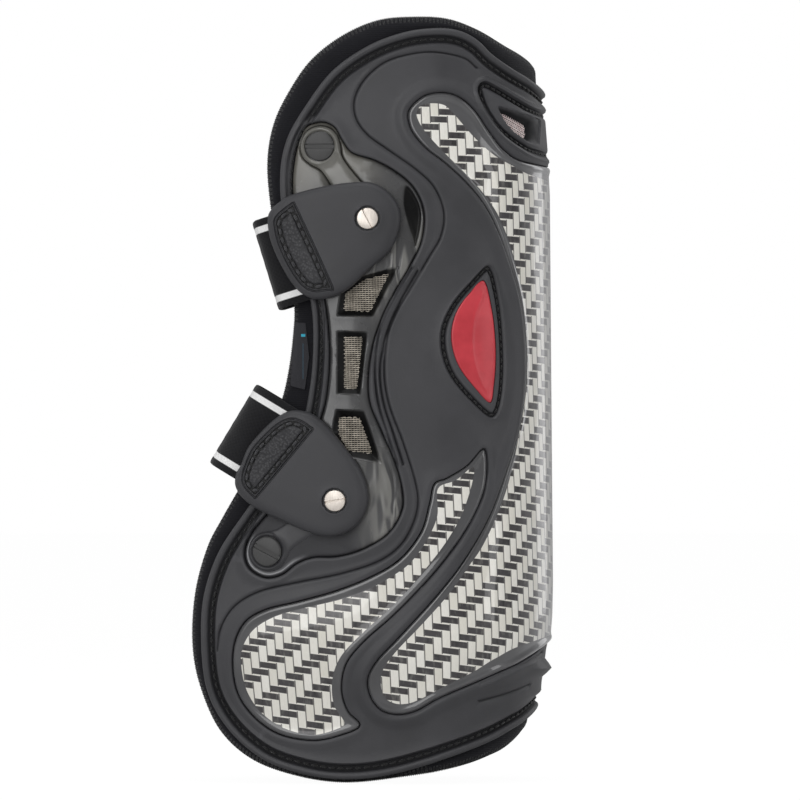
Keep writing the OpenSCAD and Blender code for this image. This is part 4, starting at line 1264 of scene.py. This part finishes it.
# inner face: a soft knit sheet sewn down round its rim and along the shell's seam, swelled by cloth pressure
inn = offset(LINING_O, 3.4 * ls, False)
inn = inn[dist(inn, LINING_O, False) > 3.2]
inn = soften_open(resample(inn, 2.4, False))
inn[0, 0] = inn[-1, 0] = SC
back_n = int(abs(inn[0, 1] - inn[-1, 1]) / 2.8)
back_l = np.stack([np.full(back_n - 1, SC), np.linspace(inn[-1, 1], inn[0, 1], back_n + 1)[1:-1]], 1)
ipoly = ccw(np.vstack([inn, back_l]))
seam = resample(offset(SHELL_O, 3.65 * sg * wf, False), 2.4, False)
seam = runs(seam, (dist(seam, ipoly) > 2.2) & inside(seam, ipoly), False)
gp = grid_points(ipoly.min(0), ipoly.max(0), 2.9, np.vstack([ipoly] + [c for c, _ in seam]), 1.5)
gp = gp[inside(gp, ipoly)]
Vc, Fcl = cdt([(ipoly, True)] + seam, gp, lambda P: inside(P, ipoly))
on_seam = np.zeros(len(Vc))
for c, _ in seam:
    on_seam = np.maximum(on_seam, dist(Vc, c, False) < 0.4)
held = np.maximum(on_seam, dist(Vc, inn, False) < 0.4)
soft = to_mesh("lining_inner_knit", np.c_[Vc, lin_bottom(Vc) - 0.06], Fcl[:, ::-1], INNER, centre=True, extra={"held": held})
me = soft.data
rest = np.array([v.co for v in me.vertices])
rest_n = np.array([v.normal for v in me.vertices])
wh = np.zeros(len(me.vertices), np.float32)
me.attributes["held"].data.foreach_get("value", wh)
vg = soft.vertex_groups.new(name="held")
vg.add([int(i) for i in np.where(wh > 0.5)[0]], 1.0, "REPLACE")
md = soft.modifiers.new("cloth", "CLOTH")
cs = md.settings
cs.quality = 5
cs.mass = 0.3
cs.tension_stiffness = cs.compression_stiffness = 15
cs.shear_stiffness = 5
cs.bending_stiffness = 0.5
cs.vertex_group_mass = "held"
cs.shrink_min = -0.02
cs.use_pressure = True
cs.uniform_pressure_force = 4
cs.effector_weights.gravity = 0
md.collision_settings.use_collision = False
md.point_cache.frame_start, md.point_cache.frame_end = 1, 20
for fr in range(1, 21):
    bpy.context.scene.frame_set(fr)
ev = soft.evaluated_get(bpy.context.evaluated_depsgraph_get())
em_ = ev.to_mesh()
now = np.array([v.co for v in em_.vertices])
ev.to_mesh_clear()
soft.modifiers.remove(md)
bpy.context.scene.frame_set(1)
mv = now - rest
out_ = (mv * rest_n).sum(1)
tang = mv - out_[:, None] * rest_n
tl = np.linalg.norm(tang, axis=1)[:, None]
tang = tang * np.minimum(1, 0.0006 / np.maximum(tl, 1e-9))
print("lining swell mm", float(out_.min() * 1000), float(out_.max() * 1000), float(out_.mean() * 1000))
cap = 0.0016
out_ = cap * np.tanh(np.maximum(out_, 0) / cap)
me.vertices.foreach_set("co", (rest + out_[:, None] * rest_n + tang * (wh < 0.5)[:, None]).ravel())
me.update()
sb = soft.modifiers.new("subdivision", "SUBSURF")
sb.levels = sb.render_levels = 1
dg_ = bpy.context.evaluated_depsgraph_get()
nm_ = bpy.data.meshes.new_from_object(soft.evaluated_get(dg_))
soft.modifiers.remove(sb)
soft.data = nm_
nm_.polygons.foreach_set("use_smooth", np.ones(len(nm_.polygons), bool))
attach(soft, "boot")

# the seam's thread where it shows on the inner face
parts = [stitches(c, False, 3.0, 2.3, 0.42, 0.4, lambda q: lin_bottom(q) - 0.3) for c, _ in seam]
X, Fc, U = join_raw(parts)
o = to_mesh("lining_seam_thread", X, [f[::-1] for f in Fc], THREAD, centre=True)
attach(o, "boot")

# overlocked edge: threads laid across the lining's rim
q = resample(LINING_O, 0.72, False)
t = np.gradient(q, axis=0)
t /= np.linalg.norm(t, axis=1)[:, None]
nrm = np.stack([-t[:, 1], t[:, 0]], 1) * ls
parts = []
for i, (p, d, n) in enumerate(zip(q, t, nrm)):
    ang = np.linspace(-1.9, 1.9, 7)
    cx = 2.42 - 2.5 * np.cos(ang)           # distance in from the edge
    oz = -5.0 + 2.55 * np.sin(ang)
    lean = 0.12 * ang * (1 if i % 2 else -1)
    ring = []
    for j in range(4):
        a = math.pi / 4 + j * math.pi / 2
        off = 0.21 * math.cos(a)
        rad = 0.19 * math.sin(a)
        pos = p + n * (cx - rad * np.cos(ang))[:, None] + d * (lean + off)[:, None]
        ring.append(np.c_[pos, oz + rad * np.sin(ang)])
    X = np.stack(ring, 1).reshape(-1, 3)
    Fc = []
    for k in range(6):
        for j in range(4):
            Fc.append([4 * k + j, 4 * k + 4 + j, 4 * k + 4 + (j + 1) % 4, 4 * k + (j + 1) % 4])
    Fc += [[3, 2, 1, 0], [24, 25, 26, 27]]
    parts.append((X, Fc, X[:, :2]))
X, Fc, U = join_raw(parts)
X[:, 0] = np.minimum(X[:, 0], SC)
o = to_mesh("overlock_thread", X, Fc, EDGE_THREAD, centre=True)
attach(o, "boot")
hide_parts("lining_edge_binding")

# label sewn on the lining at the waist
lab = ccw(resample(to_sz([(-45.4, 25.2), (-41.6, 25.2), (-40.4, 14), (-41.8, 3.4), (-46.6, 4.6), (-46.2, 14)]), 0.8, True))
V, F = sheet(lab, [], [], 1.2, lambda P: lin_top(P) + 0.35, lambda P: lin_top(P) + 0.02, gb=3)
o = to_mesh("label_woven", V, F, LABEL, 0, sharp=60)
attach(o, "boot")
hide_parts("size_label")


# ---------------------------------------------------------------- turned and slotted small parts
def on_wall(c, side=0):
    """Frame on the side wall at (x, z): origin and axes, mm."""
    a = math.asin(c[0] / SR)
    n = np.array([math.sin(a), -math.cos(a), 0])
    x = np.array([math.cos(a), math.sin(a), 0])
    o = np.array([SR * math.sin(a), WD - SR * math.cos(a), c[1]])
    z = np.array([0, 0, 1.0])
    if side:
        k = np.array([1, -1, 1])
        o, n, x = o * k, n * k, x * k
    return o, x, z, n


def slotted_disc(c, prof, slot_w, slot_d, ang, side=0, n=64):
    """Lathe profile [(r, h)] from the centre outwards, with a slot cut by pushing down a band."""
    o, ex, ez, en = on_wall(c, side)
    top_r = prof[0][0]
    rs = [0.0] + list(np.linspace(0, 1, 9)[1:])
    P, Fc = [], []
    ca, sa = math.cos(math.radians(ang)), math.sin(math.radians(ang))
    # top face as a strip grid across the slot so its walls are sharp
    hw = slot_w / 2
    ys = [-hw - 0.04, -hw + 0.04, hw - 0.04, hw + 0.04]
    rt, ht = prof[0]
    lines = []
    a0 = np.linspace(0, 2 * math.pi, n, endpoint=False)
    rim = np.stack([rt * np.cos(a0), rt * np.sin(a0)], 1)
    for y in ys:
        w = math.sqrt(rt * rt - y * y) - 0.02
        lines.append((np.stack([np.linspace(-w, w, 12), np.full(12, y)], 1), False))
    V, F = cdt([(rim, True)] + lines, np.zeros((0, 2)), lambda Q: (Q ** 2).sum(1) < rt * rt)
    h = np.where(np.abs(V[:, 1]) < hw, ht - slot_d, ht)
    V3 = np.c_[V, h]
    rimi = np.where((V ** 2).sum(1) > (rt - 1e-3) ** 2)[0]
    order = rimi[np.argsort(np.arctan2(V[rimi, 1], V[rimi, 0]))]
    faces = F.tolist()
    pts = V3.tolist()
    prev = order.tolist()
    for r, hh in prof[1:]:
        ring = []
        for i in order:
            x, y = V[i] / rt
            hv = min(hh, ht - slot_d) if abs(V[i][1]) < hw and hh > ht - slot_d else hh
            ring.append(len(pts))
            pts.append([x * r, y * r, hv])
        m = len(ring)
        for k in range(m):
            faces.append([prev[k], ring[k], ring[(k + 1) % m], prev[(k + 1) % m]])
        prev = ring
    faces.append(prev[::-1])
    Q = np.array(pts)
    x, y = Q[:, 0] * ca - Q[:, 1] * sa, Q[:, 0] * sa + Q[:, 1] * ca
    X = o + x[:, None] * ex + y[:, None] * ez + Q[:, 2:] * en
    if side:
        faces = [f[::-1] for f in faces]
    return X, faces, Q[:, :2]


def surf_sheet_piece(name, outline, top, bottom, mat, rows=(), g=1.2, side=0, holes=(), sharp=50, gb=3.0):
    V, F = sheet(outline, list(holes), list(rows), g, top, bottom, gb=gb)
    return to_mesh(name, V, F, mat, side, sharp=sharp)


TAB_LOW, TAB_TOP = 1.6, 5.2
for w in ("upper", "lower"):
    st, pn = np.array(STUD_C[w]), np.array(PIN_C[w])
    ssz, psz = to_sz([st])[0], to_sz([pn])[0]
    # moulded arm with its ring boss and the dish that the stud sits in
    arm = arm_outline(w)

    def arm_top(V, arm=arm, psz=psz, ssz=ssz, w=w):
        dd = np.clip(sdist(V, arm), 0, None)
        h = np.interp(dd, [0, 0.2, 0.6, 1.1], [.1, .75, 1.1, 1.2] if w == 'upper' else [-.05, .12, .3, .36])
        r = np.linalg.norm(V - psz, axis=1)
        h = np.where(r < 7, np.maximum(h, 0) + 0.45 * np.exp(-((r - 5.7) / 0.45) ** 2), h)
        h = np.where(r < 4.98, -0.1, h)
        q = np.linalg.norm(V - ssz, axis=1)
        k = 19.42
        dish = 0.5 + 19.42 - np.sqrt(np.maximum(19.54 ** 2 - q ** 2, 0))
        h = np.where(q < 5.9, np.minimum(h, dish), h)
        return h
    rows = row_set(arm, [0.2, 0.6, 1.1], True)
    for cc, rr in ((psz, (4.96, 5.0, 5.3, 5.7, 6.1)), (ssz, (2, 3.5, 4.8, 5.6, 5.9))):
        for r_ in rr:
            aa = np.linspace(0, 2 * math.pi, 48, endpoint=False)
            rows.append((cc + r_ * np.stack([np.cos(aa), np.sin(aa)], 1), True))
    o = surf_sheet_piece(w + "_arm_moulding", arm, arm_top, lambda P: np.full(len(P), -0.28), ARM if w == 'upper' else ARM_MATT, rows, 1.3, sharp=45)
    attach(o, "boot")
    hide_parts(w + "_socket_arm")

    X, Fc, U = slotted_disc(pn, [(4.3, 1.45), (4.58, 1.36), (4.78, 1.1), (4.82, -0.1)], 1.6, 0.7, PIN_A[w])
    o = raw_mesh(w + "_pin_slotted", X, Fc, PIN, U, sharp=35)
    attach(o, "boot")
    if w == "upper":
        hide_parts("socket_arm_pins")

    # tab
    tb = closed_sz(tabs_c[w], 0.7)
    pc = resample(soften(closed_sz(patch_c[w], 0.5), 9), 0.6, True)
    cen = tb.mean(0)

    def tab_top(V, tb=tb, pc=pc, ssz=ssz):
        dd = np.clip(sdist(V, tb), 0, None)
        h = TAB_TOP + 0.25 * smooth(dd, 2, 10) + np.interp(dd, [0, .2, .5, 1.0, 1.7, 2.6, 3.6], [-2.2, -1.55, -1.05, -.55, -.22, -.05, 0])
        q = np.linalg.norm(V - ssz, axis=1)
        h += 0.12 * np.exp(-((q - 4.5) / 0.5) ** 2)
        h = np.where(q < 4.0, TAB_TOP - 0.95, h)
        dp = sdist(V, pc)
        h -= 0.6 * smooth(dp, -0.25, 0.15)
        return h
    rows = row_set(tb, [.2, .35, .5, .75, 1.0, 1.35, 1.7, 2.1, 2.6, 3.6], True) + row_set(pc, [-0.25, -0.05, 0.15], True)
    for r_ in (3.95, 4.0, 4.2, 4.5, 4.9, 5.4):
        aa = np.linspace(0, 2 * math.pi, 64, endpoint=False)
        rows.append((ssz + r_ * np.stack([np.cos(aa), np.sin(aa)], 1), True))

    def tab_low(V, tb=tb, ssz=ssz):
        dd = np.clip(sdist(V, tb), 0, None)
        q = np.linalg.norm(V - ssz, axis=1)
        return TAB_LOW + 0.7 + round_edge(dd, 0.7) * -1 - 0.7 + np.where(q < 6.1, 0.02, 0)
    o = surf_sheet_piece(w + "_tab_moulding", tb, tab_top, tab_low, RUBBER, rows, 1.3, sharp=42, gb=1.6)
    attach(o, w + "_tab")
    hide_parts(w + "_tab")

    # stitched patch on the tab
    pi = offset(pc, 0.35)

    def pt_top(V, pi=pi, f=tab_top):
        dd = np.clip(sdist(V, pi), 0, None)
        return f(V) + np.interp(dd, [0, .15, .35, .5, .68, 2.1, 2.3, 2.9], [0.1, .45, .62, .58, .14, .14, .66, .8])
    rows = row_set(pi, [.15, .35, .5, .68, 2.1, 2.3, 2.9], True)
    V, F = sheet(pi, [], rows, 1.0, pt_top, lambda P, f=tab_top: f(P) - 0.12, gb=3.0)
    # painted shade in the sewn channel round the patch, from its depth
    patch_channel_shade = np.clip((0.5 - (V[:, 2] - tab_top(V[:, :2]))) / 0.25, 0, 1)
    o = to_mesh(w + "_patch_pebbled", V, F, PATCH, 0, sharp=60, extra={"recess_shade": patch_channel_shade})
    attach(o, w + "_tab")
    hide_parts(w + "_tab_patch")
    c = resample(soften(inset_clean(pi, 1.38), 2), 0.5, True)
    X, Fc, U = stitches(c, True, 2.9, 2.05, 0.52, 0.5, lambda P, f=tab_top: f(P) + 0.42)
    V3 = X
    o = to_mesh(w + "_patch_thread", V3, Fc, THREAD_WAXED, 0)
    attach(o, w + "_tab")
    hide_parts(w + "_tab_stitching")

    X, Fc, U = slotted_disc(st, [(3.1, 5.2), (3.36, 5.12), (3.5, 4.92), (3.5, 4.25)], 0.6, 0.8, SLOT_A[w])
    o = raw_mesh(w + "_screw_head", X, Fc, STEEL, U, sharp=35)
    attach(o, w + "_tab")
    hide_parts(w + "_stud_screw")

# ---------------------------------------------------------------- elastic straps
STRAPS = {"upper": (17.0, 60.6, -56.4, 6.0, -53.2, -46.0, -24.0, 3.3), "lower": (-31.0, -46.9, -75.5, 9.5, -68.0, -52.0, -41.0, 5.4)}
T0, TT = 0.3, 1.8


def wall_y(x, o):
    return np.where(x > 0, np.sqrt(np.maximum((R + o) ** 2 - x * x, 0)), np.sqrt((SR + o) ** 2 - x * x) - WD)


def strap_point(S, u, w, o, sgn):
    """Half path: u along the strap plane, w across, o above the shell; sgn -1 lateral, +1 medial."""
    th = math.radians(S[0])
    cl = S[3] if sgn < 0 else S[7]
    c = S[2] + cl
    k = cl - TT - T0 + o
    xu = np.maximum(u, c) * math.cos(th) - w * math.sin(th)
    y = wall_y(xu, o)
    y = np.where(u >= c, y, y - k + np.sqrt(np.maximum(k * k - (u - c) ** 2, 0)))
    x = u * math.cos(th) - w * math.sin(th)
    z = S[1] + u * math.sin(th) + w * math.cos(th)
    return np.stack([x, sgn * y, z], -1)


def strap_path(S, w, o, n_wall, n_arc, u_end_l, u_end_m):
    """Whole path for one edge line: lateral end, corner, front, corner, medial end."""
    c = S[2] + S[3]
    k = S[3] - TT - T0 + o
    pts = []
    for u in np.linspace(u_end_l, c, n_wall, endpoint=False):
        pts.append(strap_point(S, u, w, o, -1))
    for a in np.linspace(0, math.pi / 2, n_arc):
        pts.append(strap_point(S, c - k * math.sin(a), w, o, -1))
    ya, yb = -pts[-1][1], None
    p0 = pts[-1]
    p1 = strap_point(S, c - k, w, o, 1)
    nf = 24
    for i in range(1, nf):
        t = i / nf
        p = p0 * (1 - t) + p1 * t
        bow = 0.9 * math.sin(math.pi * t)
        th = math.radians(S[0])
        pts.append(p + np.array([-bow * math.cos(th), 0, -bow * math.sin(th)]))
    cm = S[2] + S[7]
    km = S[7] - TT - T0 + o
    for a in np.linspace(math.pi / 2, 0, n_arc):
        pts.append(strap_point(S, cm - km * math.sin(a), w, o, 1))
    for u in np.linspace(cm, u_end_m, 3 * n_wall + 1)[1:]:
        pts.append(strap_point(S, u, w, o, 1))
    return np.array(pts)


def strap_piece(name, S, i0, i1, u_l, u_m, lift):
    """Closed ribbon between path stations i0..i1 with rounded, lightly ribbed faces."""
    ws = np.r_[-15, -14.85, -14.4, np.linspace(-13.6, 13.6, 27), 14.4, 14.85, 15]
    prof = np.interp(np.abs(ws), [0, 14.4, 14.85, 15], [1, 1, 0.75, 0.35])
    top, bot = [], []
    for w, p in zip(ws, prof):
        rib = 0.035 * math.cos(2 * math.pi * w / 1.36)
        mid = T0 + TT / 2
        top.append(strap_path(S, w, mid + TT / 2 * p * 0.92 + rib, 5, 9, u_l, u_m)[i0:i1])
        bot.append(strap_path(S, w, mid - TT / 2 * p * 0.92, 5, 9, u_l, u_m)[i0:i1])
    top, bot = np.array(top), np.array(bot)       # [w, station, 3]
    nw, ns = top.shape[:2]
    L = np.r_[0, np.cumsum(np.linalg.norm(np.diff(top[nw // 2], axis=0), axis=1))]
    X = np.vstack([top.reshape(-1, 3), bot.reshape(-1, 3)])
    U = np.stack(np.meshgrid(L, ws), -1).reshape(-1, 2)
    U = np.vstack([U, U])
    B = nw * ns
    Fc = []
    for i in range(nw - 1):
        for j in range(ns - 1):
            a = i * ns + j
            Fc.append([a, a + ns, a + ns + 1, a + 1])
            Fc.append([B + a, B + a + 1, B + a + ns + 1, B + a + ns])
    for j in range(ns - 1):
        Fc.append([j, j + 1, B + j + 1, B + j])
        a = (nw - 1) * ns + j
        Fc.append([a + 1, a, B + a, B + a + 1])
    for i in range(nw - 1):
        a = i * ns
        Fc.append([a + ns, a, B + a, B + a + ns])
        a = i * ns + ns - 1
        Fc.append([a, a + ns, B + a + ns, B + a])
    return X, Fc, U


for w, S in STRAPS.items():
    u_l = S[4] + 9.0 if w == "upper" else S[4] + 9.0
    total = 5 + 9 + 23 + 9 + 15
    half = 5 + 9 + 12
    # tab half
    X, Fc, U = strap_piece(w, S, 0, half, u_l, S[6], 0)
    o = raw_mesh(w + "_elastic_tab_half", X, Fc, ELASTIC, U, sharp=50)
    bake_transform(o)
    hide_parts(w + "_elastic_strap")
    # anchor half
    X, Fc, U = strap_piece(w, S, half - 1, total, u_l, S[6], 0)
    o = raw_mesh(w + "_elastic_anchor_half", X, Fc, ELASTIC, U, sharp=50)
    th = math.radians(S[0])
    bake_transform(o)
    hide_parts(w + "_strap_anchor")

    # medial anchor patch, its stitching and rivets
    def uw(u, v, S=S, th=th):
        return (u * math.cos(th) - v * math.sin(th), S[1] + u * math.sin(th) + v * math.cos(th))
    e = S[6]
    ctrl = []
    for (u0, v0), (dx, dy) in (((e + 2, -16.5), (-1, 1)), ((e + 2, 16.5), (-1, -1)), ((e - 9, 16.5), (1, -1)), ((e - 9, -16.5), (1, 1))):
        ctrl.append((u0, v0))
    pl = poly_sz([uw(*p) for p in ctrl], 0.7, 2.2)
    base = T0 + TT + 0.1

    def ap_top(V, pl=pl, base=base):
        dd = np.clip(sdist(V, pl), 0, None)
        return base + np.interp(dd, [0, .2, .6, 1.2, 1.7, 2.3, 2.7], [.35, .85, 1.15, 1.2, 1.0, 1.0, 1.2])
    rows = row_set(pl, [.2, .6, 1.2, 1.7, 2.3, 2.7], True)
    o = surf_sheet_piece(w + "_anchor_patch", pl, ap_top, lambda P, b=base: np.full(len(P), b), RUBBER, rows, 1.3, side=1, sharp=45)
    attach(o, "boot")
    if w == "upper":
        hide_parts("anchor_patches")
    X, Fc, U = stitches(offset(pl, 2.0), True, 2.6, 2.1, 0.32, 0.3, base + 1.1)
    o = to_mesh(w + "_anchor_thread", X, Fc, THREAD, 1)
    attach(o, "boot")
    parts = []
    for v in (-9, 9):
        c = uw(e - 3.5, v)
        parts.append(slotted_disc(c, [(2.3, base + 1.95), (2.7, base + 1.85), (2.95, base + 1.6), (3.0, base + 1.15)], 0.01, 0.0, 0, side=1, n=40))
    X, Fc, U = join_raw(parts)
    o = raw_mesh(w + "_anchor_rivet_heads", X, Fc, STEEL, U, sharp=40)
    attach(o, "boot")
    if w == "upper":
        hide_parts("anchor_rivets")

# ---------------------------------------------------------------- CAD nodes that stay
for n, m in (("upper_stud", STUD), ("lower_stud", STUD), ("tendon_impact_pad", FOAM)):
    ob = bpy.data.objects.get(n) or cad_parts[n]
    if isinstance(ob, str):
        ob = bpy.data.objects[ob]
    ob.data.materials.clear()
    ob.data.materials.append(m)

# ======================================================================
# Stage
# ======================================================================
zf = CAD_BOX[0][2] - 0.0004
fm = Mat("floor_white")
fm.set(color=(0.66, 0.66, 0.66), rough=0.9, spec=0.1)
em = fm.node("ShaderNodeEmission")
em.inputs[0].default_value = (1, 1, 1, 1)
em.inputs[1].default_value = 1.07
ms = fm.node("ShaderNodeMixShader")
lpf = fm.node("ShaderNodeLightPath")
fm.t.links.new(fm.math("MULTIPLY", lpf.outputs["Is Camera Ray"], 0.9), ms.inputs[0])
fm.t.links.new(fm.b.outputs[0], ms.inputs[1])
fm.t.links.new(em.outputs[0], ms.inputs[2])
fm.t.links.new(ms.outputs[0], fm.t.nodes["Material Output"].inputs[0])
me = bpy.data.meshes.new("floor")
S_ = 6.0
prof = [(-S_, 0), (0, 0), (S_, 0)]
vs_, fs_ = [], []
for y, z in prof:
    vs_ += [(-S_, y, zf + z), (S_, y, zf + z)]
for i in range(len(prof) - 1):
    fs_.append([2 * i, 2 * i + 1, 2 * i + 3, 2 * i + 2])
me.from_pydata(vs_, [], fs_)
me.materials.append(fm.m)
for p in me.polygons:
    p.use_smooth = True
floor = bpy.data.objects.new("floor", me)
bpy.context.scene.collection.objects.link(floor)

world = bpy.data.worlds.new("studio")
bpy.context.scene.world = world
world.use_nodes = True
wt = world.node_tree
bg = wt.nodes["Background"]
lp = wt.nodes.new("ShaderNodeLightPath")
tc = wt.nodes.new("ShaderNodeTexCoord")
sp_ = wt.nodes.new("ShaderNodeSeparateXYZ")
wt.links.new(tc.outputs["Generated"], sp_.inputs[0])
mr = wt.nodes.new("ShaderNodeMapRange")
wt.links.new(sp_.outputs[2], mr.inputs[0])
for k_, v_ in enumerate((-0.6, 1.0, 0.17, 0.52)):
    mr.inputs[k_ + 1].default_value = v_
mx = wt.nodes.new("ShaderNodeMix")
mx.data_type = "FLOAT"
wt.links.new(lp.outputs["Is Camera Ray"], mx.inputs[0])
wt.links.new(mr.outputs[0], mx.inputs[2])
mx.inputs[3].default_value = 1.0
wt.links.new(mx.outputs[0], bg.inputs[1])
bg.inputs[0].default_value = (1, 1, 1, 1)


def light(name, loc, size, power, target=(0, 0, 0), sy=None):
    l = bpy.data.lights.new(name, "AREA")
    l.energy = power
    l.shape = "RECTANGLE"
    l.size = size
    l.size_y = sy or size
    o = bpy.data.objects.new(name, l)
    bpy.context.scene.collection.objects.link(o)
    o.location = loc
    o.rotation_euler = (Vector(target) - Vector(loc)).to_track_quat("-Z", "Y").to_euler()
    return o


light("key", (-0.85, -1.75, 0.5), 1.0, 12.8, (0, 0, 0), 1.7)
light("right_strip", (1.5, -0.9, 0.25), 0.35, 4.5, (0, 0, 0), 1.8)
light("back_strip", (1.2, 0.9, 0.25), 0.5, 4.0, (0, 0, 0), 1.8)
light("left_strip", (-1.5, 0.15, 0.5), 0.3, 3.0, (0, 0, 0), 1.6)
light("top", (0.0, -0.3, 1.5), 1.0, 5.5)

cam = bpy.data.cameras.new("camera")
co = bpy.data.objects.new("camera", cam)
bpy.context.scene.collection.objects.link(co)
D = 3.2
co.location = (-0.0104, -D - 0.036, 0.0)
co.rotation_euler = (math.pi / 2, 0, 0)
cam.sensor_width = 36
cam.lens = 36 * D / 0.2608
cam.clip_start, cam.clip_end = 0.05, 50
bpy.context.scene.camera = co
bpy.context.scene.view_settings.view_transform = "Standard"
